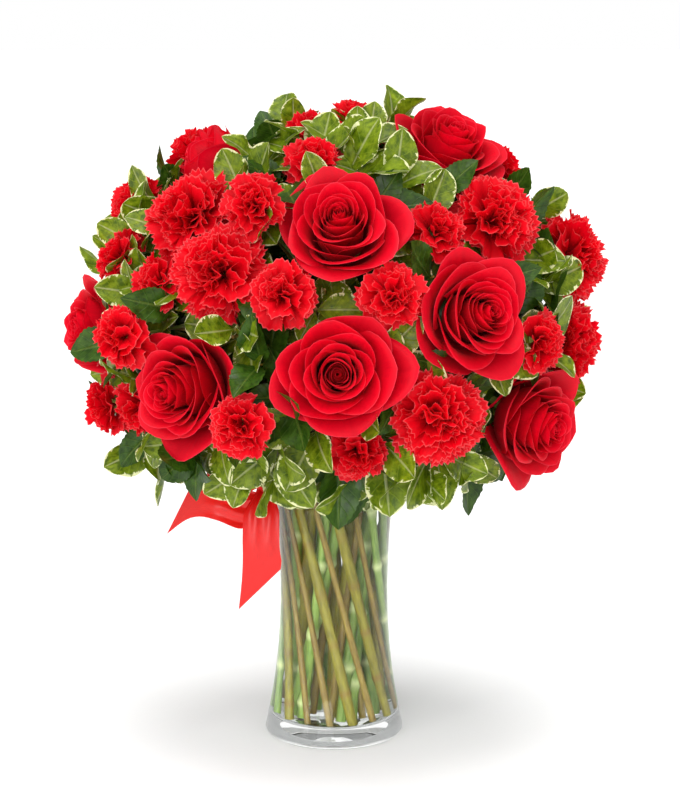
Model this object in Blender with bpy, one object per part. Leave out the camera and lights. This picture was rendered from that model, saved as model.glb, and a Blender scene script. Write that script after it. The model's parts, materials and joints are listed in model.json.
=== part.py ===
"""A dome of red roses, carnations and variegated foliage standing in a flared glass vase, tied with a ribbon.

Metres, +Z up. The origin is the middle of the vase's flat underside, and the front of the bunch faces -Y.
A bearing is 0 to the front and grows to the right (+X); an elevation is up from level.
"""

import math

import bmesh
import bpy
import numpy as np
from mathutils import Vector

# The vase.
VASE_HEIGHT = 0.203
BASE_RADIUS = 0.0508
WAIST_RADIUS = 0.0385
WAIST_HEIGHT = 0.105
RIM_RADIUS = 0.046
WALL = 0.003
FLOOR_THICKNESS = 0.013
FOOT_ROUND = 0.0045
ROUND_STEPS = 32

# What touches keeps this far apart.
GAP = 0.0004
WATER_LEVEL = 0.172

# The ribbon, tied round the neck of the vase with its bow to the left.
RIBBON_WIDTH = 0.028
BAND_LOW = 0.182
BAND_HIGH = 0.198
RIBBON_THICKNESS = 0.001
KNOT_BEARING = -68
LOOP_SIZE = 0.040
LOOP_WAYS = ((-74, 10), (-142, 24))
KNOT_RADIUS = 0.0066
KNOT_HALF_HEIGHT = 0.0105
KNOT_OFF_GLASS = 0.0085
LOOP_BULGE = 0.011
LOOP_ROOT = 0.002
TAIL_ROOT_WIDTH = 0.006

# The dome of flowers: half sizes of an ellipsoid that is shallower at the back.
DOME_CENTRE = np.array((0.0, 0.0, 0.295))
DOME_WIDTH = 0.165
DOME_FRONT = 0.150
DOME_BACK = 0.120
DOME_HEIGHT = 0.145

# Stems cross the neck on rings of slots, and stand on the floor of the vase turned round by TWIST degrees.
NECK_HEIGHT = 0.210
STEM_FOOT = FLOOR_THICKNESS + 0.0012
RING_COUNTS = (1, 6, 12, 15)
RING_PITCH = 0.012
TWIST = 80
FLOOR_SPREAD = 1.03
STEM_GAP = 0.0036
SETTLE_ROUNDS = 30

# Radius, height from calyx to face, depth of the open head within it, and radii of calyx and stem.
BLOOM_SIZES = {
    "rose": (0.0410, 0.052, 0.038, 0.011, 0.0028),
    "carnation": (0.0310, 0.054, 0.029, 0.009, 0.0023),
    "mini": (0.0200, 0.036, 0.018, 0.006, 0.0012),
}
BLOOM_GAP = 0.0012

# Name, bearing and elevation on the dome, how far out of it, and the bearing and elevation that it faces.
ROSES = (
    ("rose_top_left", -77, 53, -0.011, -90, 36),
    ("rose_top_right", 69, 56, 0.000, 30, 56),
    ("rose_front_top", 1, 33, 0.000, -4, 34),
    ("rose_left", -87, -2, -0.002, -62, 6),
    ("rose_front_left", -41, -9, 0.000, -38, 0),
    ("rose_front", 2, -2, 0.004, 0, 8),
    ("rose_front_right", 37, 8, 0.000, 26, 14),
    ("rose_right", 61, -18, 0.003, 46, -6),
    ("rose_back_left", -140, 22, 0.000, -140, 22),
    ("rose_back_top", 178, 50, 0.000, 178, 46),
    ("rose_back_right", 142, 8, 0.000, 142, 8),
)
CARNATIONS = (
    ("carnation_front_left", -33, 22, 0.000, -22, 14),
    ("carnation_upper_left", -52, 36, -0.004, -50, 30),
    ("carnation_upper_right", 57, 33, 0.002, 40, 24),
    ("carnation_far_right", 87, 13, 0.013, 62, 12),
    ("carnation_low_right", 84, 0, 0.005, 62, -4),
    ("carnation_front_low", 27, -13, 0.008, 14, -6),
    ("carnation_back_left", -112, 2, 0.004, -112, 0),
    ("carnation_back_low", 176, 6, 0.000, 176, 2),
    ("carnation_back_right", 118, 33, 0.004, 118, 30),
)
# Bearing, elevation and how far out of the dome for each small head. The first ends the main stem.
SPRAYS = (
    ("spray_top", ((-10, 58, 0), (-44, 80, 0), (111, 83, 0.004), (-19, 36, 0.010), (-104, 50, 0.008))),
    ("spray_left", ((-73, 19, 0.006), (-93, 31, 0.010), (-50, 16, 0), (-50, -1, 0.012), (-122, 24, 0))),
    ("spray_front", ((16, 12, 0), (-17, 18, 0.004), (35, 32, -0.002))),
    ("spray_right", ((104, 42, 0.012), (53, -3, 0), (112, 10, 0), (102, -16, 0))),
    ("spray_low", ((7, -26, 0.004), (-25, -14, 0.018), (-66, -17, 0), (-80, -11, 0.002))),
    ("spray_back", ((160, -14, 0), (-165, 28, 0), (-162, -12, 0), (-124, -16, 0), (160, 28, 0))),
)
# The same for the tips of each sprig of foliage.
SPRIGS = (
    ("foliage_top", ((12, 60, 0), (-98, 76, 0.006), (97, 74, 0.006), (-150, 68, 0))),
    ("foliage_upper_right", ((89, 30, 0.006), (72, 20, -0.004), (70, 42, -0.004))),
    ("foliage_right", ((82, -14, 0.006), (50, -34, 0), (112, -30, 0))),
    ("foliage_front", ((-5, 13, -0.004), (19, 22, -0.012), (-30, 4, -0.010))),
    ("foliage_upper_left", ((-86, 15, 0.006), (-98, 40, 0.004), (-64, 12, -0.006))),
    ("foliage_low_left", ((-48, -27, 0), (-22, -40, 0), (-95, -22, 0))),
    ("foliage_low_front", ((6, -42, 0), (32, -38, 0))),
    ("foliage_back", ((-178, 26, 0.004), (-150, -28, 0), (160, -34, 0), (138, 36, 0))),
)
SPRAY_STEM_RADIUS = 0.0021
TWIG_RADIUS = 0.0019
TWIG_SHORT_OF_TIP = 0.012
BRANCH_FORKS = (0.25, 0.60)

# Leaves: distance from the tip, turn round the twig, opening angle from it, and size.
LEAF_LENGTH = 0.037
LEAF_WIDTH = 0.023
LEAF_THICKNESS = 0.0016
LEAF_ROOT = 0.001
LEAF_PLACES = (
    (0.000, 0, 28, 1.00),
    (0.003, 60, 62, 1.00),
    (0.005, 180, 58, 0.95),
    (0.007, 300, 64, 1.00),
    (0.018, 120, 66, 0.95),
    (0.022, 250, 62, 0.90),
    (0.036, 10, 68, 0.90),
)
# What a leaf tries when its place is taken: a change of turn, one of opening angle, and a share of its size.
LEAF_TRIES = (
    (0, 0, 1.0),
    (0, 22, 1.0),
    (30, 0, 1.0),
    (-30, 0, 1.0),
    (0, -22, 0.9),
    (35, 20, 0.85),
    (-35, 20, 0.85),
    (60, -10, 0.8),
    (0, 30, 0.65),
)
LEAF_CLEAR = 0.0065
LEAF_BLOOM_CLEAR = 0.0034
LEAF_STEM_CLEAR = 0.0045


# ---------------------------------------------------------------- the plan of the bunch


def aim(bearing, elevation):
    """The unit vector that way."""
    around, up = math.radians(bearing), math.radians(elevation)
    return np.array((math.sin(around) * math.cos(up), -math.cos(around) * math.cos(up), math.sin(up)))


def unit(vector):
    return vector / np.linalg.norm(vector)


def on_dome(bearing, elevation, out=0.0):
    """The point of the dome that way from its centre, moved out of it by that much."""
    way = aim(bearing, elevation)
    depth = DOME_FRONT if way[1] < 0 else DOME_BACK
    reach = 1 / np.linalg.norm(way / (DOME_WIDTH, depth, DOME_HEIGHT))
    return DOME_CENTRE + way * (reach + out)


class Bloom:
    """A flower head: an envelope round its open petals, and a calyx behind it."""

    def __init__(self, name, kind, middle, axis):
        self.name, self.kind, self.middle, self.axis = name, kind, middle, unit(axis)
        self.radius, self.height, self.depth, self.calyx, self.stem_radius = BLOOM_SIZES[kind]

    @property
    def foot(self):
        return self.middle - self.axis * (self.height - self.depth / 2)

    def reach_towards(self, way):
        """Half the size of the envelope, an ellipsoid, in a direction."""
        along = float(way @ self.axis)
        return math.sqrt((self.depth / 2 * along) ** 2 + self.radius**2 * max(0.0, 1 - along**2))


class Route:
    """A stem, branch or twig: the points along it, its radius, and the flower that it ends in."""

    def __init__(self, name, family, points, radius, flower=None, parent=None, fork=0):
        self.name, self.family, self.points, self.radius = name, family, points, radius
        self.flower, self.parent, self.fork = flower, parent, fork


def plan_blooms():
    blooms = []
    for kind, table in (("rose", ROSES), ("carnation", CARNATIONS)):
        for name, bearing, elevation, out, face_bearing, face_elevation in table:
            middle = on_dome(bearing, elevation, out)
            blooms.append(Bloom(name, kind, middle, aim(face_bearing, face_elevation)))
    for name, heads in SPRAYS:
        for number, (bearing, elevation, out) in enumerate(heads):
            middle = on_dome(bearing, elevation, out)
            blooms.append(Bloom(f"{name}_{number}", "mini", middle, aim(bearing, elevation * 0.9)))
    make_room(blooms)
    return blooms


def make_room(blooms, rounds=150):
    """Moves flower heads apart until their envelopes are clear, as they press on each other in a bunch."""
    for _ in range(rounds):
        for place, first in enumerate(blooms):
            for second in blooms[place + 1 :]:
                across = second.middle - first.middle
                distance = np.linalg.norm(across)
                way = across / distance
                short = first.reach_towards(way) + second.reach_towards(way) + BLOOM_GAP - distance
                if short > 0:
                    share = second.radius**2 / (first.radius**2 + second.radius**2)
                    first.middle = first.middle - way * short * share * 0.5
                    second.middle = second.middle + way * short * (1 - share) * 0.5


def curve(start, start_way, end, end_way, spacing=0.008):
    """Points of a Hermite curve that leaves and arrives along two directions."""
    span = np.linalg.norm(end - start)
    t = np.linspace(0, 1, max(5, round(span * 1.1 / spacing)) + 1)[:, None]
    leave, arrive = start_way * span, end_way * span * 0.9
    return (
        (2 * t**3 - 3 * t**2 + 1) * start
        + (t**3 - 2 * t**2 + t) * leave
        + (3 * t**2 - 2 * t**3) * end
        + (t**3 - t**2) * arrive
    )


def neck_slots():
    """The places where stems cross the neck, ring by ring, as (x, y)."""
    rings = []
    for ring, count in enumerate(RING_COUNTS):
        turns = [2 * math.pi * (step + 0.5 * (ring % 2)) / count for step in range(count)]
        rings.append([np.array((math.sin(a), -math.cos(a))) * ring * RING_PITCH for a in turns])
    return rings


def floor_point(slot):
    """Where the stem in that slot of the neck stands on the floor of the vase."""
    turn = math.radians(TWIST)
    x, y = slot * FLOOR_SPREAD
    c, s = math.cos(turn), math.sin(turn)
    return np.array((x * c - y * s, x * s + y * c, STEM_FOOT))


def bearing_of(point):
    return math.atan2(point[0], -point[1])


def share_slots(targets):
    """A neck slot for each target. The steepest take the inner rings, and a ring keeps its targets' order."""
    neck = np.array((0, 0, NECK_HEIGHT))
    slope = [math.hypot(*(target - neck)[:2]) / (target - neck)[2] for target in targets]
    slope = [value if value > 0 else math.inf for value in slope]
    order = sorted(range(len(targets)), key=lambda index: slope[index])
    chosen = {}
    for slots in neck_slots():
        members, order = order[: len(slots)], order[len(slots) :]
        members.sort(key=lambda index: bearing_of(targets[index]))
        slots = sorted(slots, key=bearing_of)

        def mismatch(shift):
            turned = slots[shift:] + slots[:shift]
            pairs = zip((targets[index][:2] for index in members), turned)
            return sum(np.linalg.norm(unit(target) - unit(slot + 1e-9)) ** 2 for target, slot in pairs)

        best = min(range(len(slots)), key=mismatch)
        for place, index in enumerate(members):
            chosen[index] = slots[(place + best) % len(slots)]
    return chosen


def plan_routes(blooms):
    """Every main stem from the neck up, then the branches that leave them, all bent clear of each other."""
    heads = {bloom.name: bloom for bloom in blooms}
    single = [bloom for bloom in blooms if bloom.kind != "mini"]
    jobs = [(bloom.name, bloom.foot, bloom.axis, bloom.stem_radius, bloom) for bloom in single]
    for name, _ in SPRAYS:
        first = heads[f"{name}_0"]
        jobs.append((name, first.foot, first.axis, SPRAY_STEM_RADIUS, first))
    for name, tips in SPRIGS:
        jobs.append((name, *twig_end(tips[0]), TWIG_RADIUS, None))
    slots = share_slots([job[1] for job in jobs])
    routes = []
    for index, (name, end, way, radius, flower) in enumerate(jobs):
        start = np.array((*slots[index], NECK_HEIGHT))
        rise = unit(start - floor_point(slots[index]))
        routes.append(Route(name, name, curve(start, rise, end, way), radius, flower))
    mains = {route.name: route for route in routes}
    for name, places in SPRAYS:
        for number in range(1, len(places)):
            bloom = heads[f"{name}_{number}"]
            share = fork_share(number, len(places))
            end, way = bloom.foot, bloom.axis
            routes.append(branch(mains[name], bloom.name, end, way, share, bloom.stem_radius, bloom))
    for name, tips in SPRIGS:
        for number in range(1, len(tips)):
            end, way = twig_end(tips[number])
            share = fork_share(number, len(tips))
            routes.append(branch(mains[name], f"{name}_{number}", end, way, share, TWIG_RADIUS * 0.85))
    settle(routes, blooms)
    return routes


def twig_end(tip):
    """The end of a twig that carries leaves out to a place on the dome, and the way it points."""
    way = aim(tip[0], tip[1])
    return on_dome(*tip) - way * TWIG_SHORT_OF_TIP, way


def fork_share(number, count):
    """How far up the main stem a branch leaves it."""
    low, high = BRANCH_FORKS
    return low + (high - low) * (number - 1) / max(1, count - 2)


def branch(main, name, end, way, share, radius, flower=None):
    fork = round(share * (len(main.points) - 1))
    start = main.points[fork]
    tangent = unit(main.points[fork + 1] - start)
    leave = unit(tangent + 0.8 * unit(end - start))
    return Route(name, main.family, curve(start, leave, end, way), radius, flower, main, fork)


def settle(routes, blooms):
    """Bends the stems apart, round the flower heads and over the rim. Only a twig's tip is free."""
    points = np.concatenate([route.points for route in routes])
    owner = np.concatenate([[index] * len(route.points) for index, route in enumerate(routes)])
    radius = np.concatenate([[route.radius] * len(route.points) for route in routes])
    names = [route.family for route in routes]
    family = np.array([names.index(name) for name in names])[owner]
    starts = np.cumsum([0] + [len(route.points) for route in routes])
    rows = [slice(low, high) for low, high in zip(starts[:-1], starts[1:])]
    held = np.zeros(len(points), bool)
    for route, span in zip(routes, rows):
        held[span.start : span.start + 2] = True
        held[span.stop - 2 : span.stop] = route.flower is not None
    for _ in range(SETTLE_ROUNDS):
        push = push_between(points, radius, family)
        for bloom in blooms:
            own = np.array([route.flower is bloom for route in routes])[owner]
            push += push_from_bloom(points, radius, bloom) * ~own[:, None]
        push += push_from_rim(points, radius)
        push[held] = 0
        for span in rows:
            points[span] += smoothed(push[span])
            points[span] += stiffness(points[span]) * ~held[span][:, None]
        for index, route in enumerate(routes):
            if route.parent:
                anchor = points[rows[routes.index(route.parent)]][route.fork]
                first = rows[index].start
                step = anchor - points[first]
                points[first : first + 2] += step
    for route, span in zip(routes, rows):
        route.points = points[span].copy()
    for route in routes:
        route.line = thinned(route.points)
        if route.parent:
            route.line[0] = nearest_on(route.parent.line, route.line[0])


def thinned(points, spacing=0.024):
    """Fewer points along the same route."""
    steps = np.linalg.norm(np.diff(points, axis=0), axis=1)
    reached = np.concatenate([[0], np.cumsum(steps)])
    wanted = np.linspace(0, reached[-1], max(3, round(reached[-1] / spacing) + 1))
    return np.array([[np.interp(at, reached, points[:, column]) for column in range(3)] for at in wanted])


def nearest_on(line, point):
    """The point of a line of points that is nearest."""
    starts, steps = line[:-1], np.diff(line, axis=0)
    share = np.clip(((point - starts) * steps).sum(axis=1) / (steps**2).sum(axis=1), 0, 1)
    found = starts + share[:, None] * steps
    return found[np.argmin(np.linalg.norm(found - point, axis=1))]


def push_between(points, radius, family):
    """Pushes that part the points of different families."""
    square = (points**2).sum(axis=1)
    near = square[:, None] + square[None] - 2 * points @ points.T
    reach = radius[:, None] + radius[None] + STEM_GAP
    first, second = np.nonzero((near < reach**2) & (family[:, None] != family[None]))
    across = points[first] - points[second]
    distance = np.linalg.norm(across, axis=1) + 1e-9
    short = reach[first, second] - distance
    push = np.zeros_like(points)
    np.add.at(push, first, across / distance[:, None] * np.maximum(short, 0)[:, None] * 0.4)
    return push


def push_from_bloom(points, radius, bloom, margin=0.0015):
    """Pushes out of a flower's envelope and away from its calyx."""
    offset = points - bloom.middle
    along = offset @ bloom.axis
    aside = np.linalg.norm(offset - along[:, None] * bloom.axis, axis=1)
    size = np.hypot(along / (bloom.depth / 2 + margin + radius), aside / (bloom.radius + margin + radius))
    push = offset * np.maximum(0, 1 / (size + 1e-6) - 1)[:, None] * 0.4
    stalk = bloom.middle - bloom.foot
    share = np.clip((points - bloom.foot) @ stalk / (stalk @ stalk), 0, 1)
    away = points - bloom.foot - share[:, None] * stalk
    distance = np.linalg.norm(away, axis=1) + 1e-9
    short = np.maximum(0, bloom.calyx + radius + margin - distance)
    return push + away / distance[:, None] * short[:, None] * 0.4


def push_from_rim(points, radius, margin=0.0045):
    """Pushes away from the circle of the vase's rim."""
    flat = np.linalg.norm(points[:, :2], axis=1) + 1e-9
    rim = points * 1.0
    rim[:, :2] *= ((RIM_RADIUS - WALL / 2) / flat)[:, None]
    rim[:, 2] = VASE_HEIGHT - 0.002
    away = points - rim
    distance = np.linalg.norm(away, axis=1) + 1e-9
    short = np.maximum(0, margin + radius - distance)
    return away / distance[:, None] * short[:, None] * 0.5


def smoothed(push):
    spread = push.copy()
    spread[1:-1] = 0.5 * push[1:-1] + 0.25 * (push[:-2] + push[2:])
    return spread


def stiffness(points):
    """What a springy stem does about a kink: it spreads the bend along its length."""
    bend = points[:-2] - 2 * points[1:-1] + points[2:]
    ease = np.zeros_like(points)
    ease[2:-2] = -0.12 * (bend[:-2] - 2 * bend[1:-1] + bend[2:])
    return ease


class Leaf:
    """A leaf on a twig: where it leaves the twig, the way it points, its upper side, and its size."""

    def __init__(self, root, way, face, size):
        self.root, self.way = root, unit(way)
        self.face = unit(face - self.way * (face @ self.way))
        self.side = np.cross(self.way, self.face)
        self.length, self.width = LEAF_LENGTH * size, LEAF_WIDTH * size

    def samples(self):
        """Points over the leaf that stand for it when room is looked for."""
        found = []
        for share, half in ((0.25, 0.30), (0.5, 0.5), (0.75, 0.40), (1.0, 0.0)):
            for across in (-half, 0, half) if half else (0,):
                found.append(self.root + self.way * self.length * share + self.side * self.width * across)
        return np.array(found)


def plan_leaves(routes, blooms):
    """The leaves of each sprig: a tuft at each tip and a few below it, wherever there is room."""
    stem_points = np.concatenate([route.points for route in routes])
    stem_radius = np.concatenate([[route.radius] * len(route.points) for route in routes])
    stem_owner = np.concatenate([[index] * len(route.points) for index, route in enumerate(routes)])
    taken = np.zeros((0, 3))
    leaves = {name: [] for name, _ in SPRIGS}
    for index, route in enumerate(routes):
        if route.family not in leaves:
            continue
        others = stem_owner != index
        for place in LEAF_PLACES:
            for change in LEAF_TRIES:
                leaf = leaf_at(route, place, change)
                samples = leaf.samples()
                clear = has_room(samples, blooms, taken)
                clear = clear and apart(samples, stem_points[others], stem_radius[others] + LEAF_STEM_CLEAR)
                if clear:
                    leaves[route.family].append(leaf)
                    taken = np.concatenate([taken, samples])
                    break
    return leaves


def leaf_at(route, place, change):
    back, turn, opening, size = place
    turn_more, open_more, size_share = change
    points = route.line[::-1]
    steps = np.linalg.norm(np.diff(points, axis=0), axis=1)
    reached = np.concatenate([[0], np.cumsum(steps)])
    here, behind = (
        np.array([np.interp(place, reached, points[:, column]) for column in range(3)])
        for place in (back, back + 0.004)
    )
    ahead = unit(points[0] - behind)
    level = unit(np.cross(ahead, (0.0, 0.0, 1.0)) + 1e-6)
    upright = np.cross(level, ahead)
    around = math.radians(turn + turn_more)
    outward = level * math.cos(around) + upright * math.sin(around)
    tilt = math.radians(opening + open_more)
    way = ahead * math.cos(tilt) + outward * math.sin(tilt)
    face = ahead * math.sin(tilt) - outward * math.cos(tilt)
    return Leaf(here - way * LEAF_ROOT, way, face, size * size_share)


def apart(samples, others, reach):
    distance = np.linalg.norm(samples[:, None] - others[None], axis=2)
    return bool((distance > reach[None]).all())


def has_room(samples, blooms, taken):
    """Whether a leaf is clear of the flower heads, the vase, the ribbon and the leaves that are there."""
    still = np.zeros(len(samples))
    for bloom in blooms:
        if np.abs(push_from_bloom(samples, still + LEAF_BLOOM_CLEAR, bloom)).max() > 1e-7:
            return False
    flat = np.linalg.norm(samples[:, :2], axis=1)
    if ((flat < RIM_RADIUS + 0.005) & (samples[:, 2] < VASE_HEIGHT + 0.004)).any():
        return False
    if np.linalg.norm(samples - ribbon_middle(), axis=1).min() < LOOP_SIZE:
        return False
    return len(taken) == 0 or apart(samples, taken, np.full(len(taken), LEAF_CLEAR))


def ribbon_middle():
    """The middle of the space that the bow takes."""
    return aim(KNOT_BEARING, 0) * (RIM_RADIUS + LOOP_SIZE * 0.55) + (0, 0, (BAND_LOW + BAND_HIGH) / 2 - 0.008)


# ---------------------------------------------------------------- meshes


def material(name, colour, roughness, transmission=0.0):
    made = bpy.data.materials.new(name)
    made.use_nodes = True
    shader = made.node_tree.nodes["Principled BSDF"]
    shader.inputs["Base Color"].default_value = (*colour, 1)
    shader.inputs["Roughness"].default_value = roughness
    shader.inputs["Metallic"].default_value = 0.0
    shader.inputs["Transmission Weight"].default_value = transmission
    made.diffuse_color = (*colour, 1)
    return made


def mesh_of(name, points, faces):
    mesh = bpy.data.meshes.new(name)
    mesh.from_pydata([tuple(map(float, point)) for point in points], [], faces)
    work = bmesh.new()
    work.from_mesh(mesh)
    bmesh.ops.recalc_face_normals(work, faces=work.faces)
    work.to_mesh(mesh)
    work.free()
    mesh.shade_smooth()
    mesh.set_sharp_from_angle(angle=math.radians(50))
    return mesh


def add(name, mesh, finish, parent):
    made = bpy.data.objects.new(name, mesh)
    made.data.materials.append(finish)
    made.parent = parent
    bpy.context.scene.collection.objects.link(made)
    return made


def ring_shell(rings, first=None, last=None):
    """(points, faces) of a closed surface through rings of points, ended by a point or a flat cap."""
    sides = len(rings[0])
    points = [point for ring in rings for point in ring]
    faces = []
    for row in range(len(rings) - 1):
        low, high = row * sides, (row + 1) * sides
        for place in range(sides):
            after = (place + 1) % sides
            faces.append((low + place, low + after, high + after, high + place))
    for end, start in ((first, 0), (last, len(points) - sides)):
        ring = [start + place for place in range(sides)]
        if end is None:
            faces.append(ring)
            continue
        points.append(end)
        centre = len(points) - 1
        faces += [(ring[place], ring[(place + 1) % sides], centre) for place in range(sides)]
    return points, faces


def join_shells(shells):
    points, faces = [], []
    for more_points, more_faces in shells:
        start = len(points)
        points += list(more_points)
        faces += [tuple(start + corner for corner in face) for face in more_faces]
    return points, faces


def turned_shell(profile, steps=ROUND_STEPS):
    """A turned solid from a closed outline of (radius, height) points whose two ends are on the axis."""
    turns = [2 * math.pi * (step + 0.5) / steps for step in range(steps)]
    rings = [[(r * math.sin(a), -r * math.cos(a), z) for a in turns] for r, z in profile[1:-1]]
    return ring_shell(rings, (0, 0, profile[0][1]), (0, 0, profile[-1][1]))


def hoop_shell(profile, steps=ROUND_STEPS):
    """A turned ring from a closed outline of (radius, height) points that stays off the axis."""
    turns = [2 * math.pi * (step + 0.5) / steps for step in range(steps)]
    points = [(r * math.sin(a), -r * math.cos(a), z) for a in turns for r, z in profile]
    count = len(profile)
    faces = []
    for step in range(steps):
        here, there = step * count, (step + 1) % steps * count
        for place in range(count):
            after = (place + 1) % count
            faces.append((here + place, here + after, there + after, there + place))
    return points, faces


def frames_along(points):
    """A tangent and two crossways unit vectors at each point, turned as little as can be."""
    ways = np.gradient(points, axis=0)
    ways /= np.linalg.norm(ways, axis=1)[:, None]
    across = unit(np.cross(ways[0], (0.3, 1.0, 0.2)))
    found = []
    for way in ways:
        across = unit(across - way * (across @ way))
        found.append((way, across, np.cross(way, across)))
    return found


def tube_shell(points, radii, sides=5):
    rings = []
    for point, (_, across, up), radius in zip(points, frames_along(points), radii):
        turns = [2 * math.pi * place / sides for place in range(sides)]
        rings.append([point + radius * (math.cos(a) * across + math.sin(a) * up) for a in turns])
    return ring_shell(rings)


def placed(shell, foot, axis):
    """The shell with its own Z along the axis and its origin at the foot."""
    points, faces = shell
    turn = Vector((0, 0, 1)).rotation_difference(Vector(axis)).to_matrix()
    turn = np.array(turn)
    return [turn @ np.array(point) + foot for point in points], faces


def lobed_shell(profile, lobes, depth, twist, sides):
    """A flower head about its own Z: rings of (radius, height) that wave in and out like petals."""
    rings = []
    for row, (radius, height) in enumerate(profile[1:-1]):
        wave = depth * min(1.0, row / 2)
        ring = []
        for place in range(sides):
            turn = 2 * math.pi * (place + twist * row) / sides
            r = radius * (1 + wave * math.cos(lobes * turn))
            ring.append((r * math.cos(turn), r * math.sin(turn), height))
        rings.append(ring)
    return ring_shell(rings, (0, 0, profile[0][1]), (0, 0, profile[-1][1]))


ROSE_PROFILE = (
    (0, 0),
    (0.0085, 0.0010),
    (0.0195, 0.0110),
    (0.0350, 0.0230),
    (0.0400, 0.0370),
    (0.0385, 0.0430),
    (0.0270, 0.0480),
    (0.0130, 0.0520),
    (0, 0.0500),
)
CARNATION_PROFILE = (
    (0, 0),
    (0.0050, 0.0010),
    (0.0078, 0.0180),
    (0.0090, 0.0260),
    (0.0285, 0.0330),
    (0.0300, 0.0420),
    (0.0190, 0.0510),
    (0, 0.0540),
)
MINI_PROFILE = (
    (0, 0),
    (0.0032, 0.0010),
    (0.0058, 0.0160),
    (0.0175, 0.0200),
    (0.0195, 0.0280),
    (0.0110, 0.0350),
    (0, 0.0360),
)


def bloom_shell(bloom):
    shapes = {
        "rose": (ROSE_PROFILE, 5, 0.05, 0.5, 10),
        "carnation": (CARNATION_PROFILE, 5, 0.05, 0.5, 10),
        "mini": (MINI_PROFILE, 3, 0.04, 0.5, 6),
    }
    shell = lobed_shell(*shapes[bloom.kind])
    return placed(shell, bloom.foot + bloom.axis * 2 * GAP, bloom.axis)


def leaf_shell(leaf):
    """A thin leaf with a pointed oval outline, thickest along its midrib."""
    outline = ((0, 0), (0.32, 0.36), (0.68, 0.44), (1, 0), (0.68, -0.44), (0.32, -0.36))
    forward, aside = leaf.way * leaf.length, leaf.side * leaf.width
    edge = [leaf.root + forward * along + aside * half for along, half in outline]
    middle = leaf.root + leaf.way * leaf.length * 0.5
    crown = leaf.face * LEAF_THICKNESS / 2
    faces = []
    for place in range(6):
        after = (place + 1) % 6
        faces += [(place, after, 6), (after, place, 7)]
    return edge + [middle + crown, middle - crown], faces


def grown_together(name, shells, finish, parent):
    """One solid from shells that grow out of each other: the first, with the rest joined on."""
    made = add(name, mesh_of(name, *shells[0]), finish, parent)
    for number, group in enumerate(shells[1:]):
        helper = add(f"{name}_growth_{number}", mesh_of(name, *join_shells(group)), finish, parent)
        helper.hide_render = True
        helper.hide_viewport = True
        helper.display_type = "WIRE"
        union = made.modifiers.new(f"growth_{number}", "BOOLEAN")
        union.operation = "UNION"
        union.object = helper
        union.use_self = True
    return made


# ---------------------------------------------------------------- the vase, the water and the ribbon


def outer_radius(height):
    """The glass is narrowest at the waist, and flares to the foot and a little to the rim."""
    if height < WAIST_HEIGHT:
        share = (WAIST_HEIGHT - height) / WAIST_HEIGHT
        return WAIST_RADIUS + (BASE_RADIUS - WAIST_RADIUS) * share**2.1
    share = (height - WAIST_HEIGHT) / (VASE_HEIGHT - WAIST_HEIGHT)
    return WAIST_RADIUS + (RIM_RADIUS - WAIST_RADIUS) * share**2


WALL_LEVELS = (0.020, 0.038, 0.064, 0.100, 0.138, WATER_LEVEL)


def make_vase(finish, parent):
    outside = [(outer_radius(z), z) for z in (FOOT_ROUND, 0.011, *WALL_LEVELS, 0.190)]
    inside = [(outer_radius(z) - WALL, z) for z in (0.190, *reversed(WALL_LEVELS))]
    foot = [(0, 0), (BASE_RADIUS - FOOT_ROUND, 0), (BASE_RADIUS - 0.0012, 0.0015)]
    rim = [
        (RIM_RADIUS, VASE_HEIGHT - 0.0012),
        (RIM_RADIUS - WALL / 2, VASE_HEIGHT),
        (RIM_RADIUS - WALL, VASE_HEIGHT - 0.0012),
    ]
    floor = [(outer_radius(FLOOR_THICKNESS) - WALL - 0.003, FLOOR_THICKNESS), (0, FLOOR_THICKNESS)]
    shell = turned_shell(foot + outside + rim + inside + floor)
    return add("glass_vase", mesh_of("glass_vase", *shell), finish, parent)


def stem_line(route):
    """The straight stretch of a main stem, from the floor of the vase to the neck."""
    slot = route.points[0][:2]
    return floor_point(slot), route.points[0]


def make_water(routes, finish, parent):
    """The water fills the vase round the stems, with a hole for each."""
    side = [(outer_radius(z) - WALL - GAP, z) for z in WALL_LEVELS]
    low = FLOOR_THICKNESS + GAP
    outline = [(0, low), (outer_radius(FLOOR_THICKNESS) - WALL - 0.003 - GAP, low), *side, (0, WATER_LEVEL)]
    made = add("water", mesh_of("water", *turned_shell(outline)), finish, parent)
    holes = []
    for route in routes:
        if route.parent:
            continue
        foot, neck = stem_line(route)
        way = unit(neck - foot)
        ends = np.array((foot - way * 0.010, neck + way * 0.004))
        holes.append(tube_shell(ends, [route.radius + 1.5 * GAP] * 2))
    cutter = add("stem_holes", mesh_of("stem_holes", *join_shells(holes)), finish, parent)
    cutter.hide_render = True
    cutter.hide_viewport = True
    cutter.display_type = "WIRE"
    cut = made.modifiers.new("stem_holes", "BOOLEAN")
    cut.operation = "DIFFERENCE"
    cut.object = cutter
    return made


def make_band(finish, parent):
    """The ribbon round the neck, against the glass."""
    levels = (BAND_LOW, BAND_HIGH)
    inside = [(outer_radius(z) + GAP, z) for z in levels]
    outside = [(outer_radius(z) + GAP + RIBBON_THICKNESS, z) for z in reversed(levels)]
    return add("ribbon_band", mesh_of("ribbon_band", *hoop_shell(inside + outside)), finish, parent)


def strip_shell(middle, side, thickness=RIBBON_THICKNESS):
    """A band of ribbon: points along its middle, and the crossways half-width vector at each."""
    rings = []
    for (way, _, _), point, half in zip(frames_along(np.array(middle)), middle, side):
        up = unit(np.cross(way, half)) * thickness / 2
        rings.append([point + half - up, point - half - up, point - half + up, point + half + up])
    return ring_shell(rings)


def knot_place():
    height = (BAND_LOW + BAND_HIGH) / 2
    return aim(KNOT_BEARING, 0) * (outer_radius(height) + KNOT_OFF_GLASS) + (0, 0, height)


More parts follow.
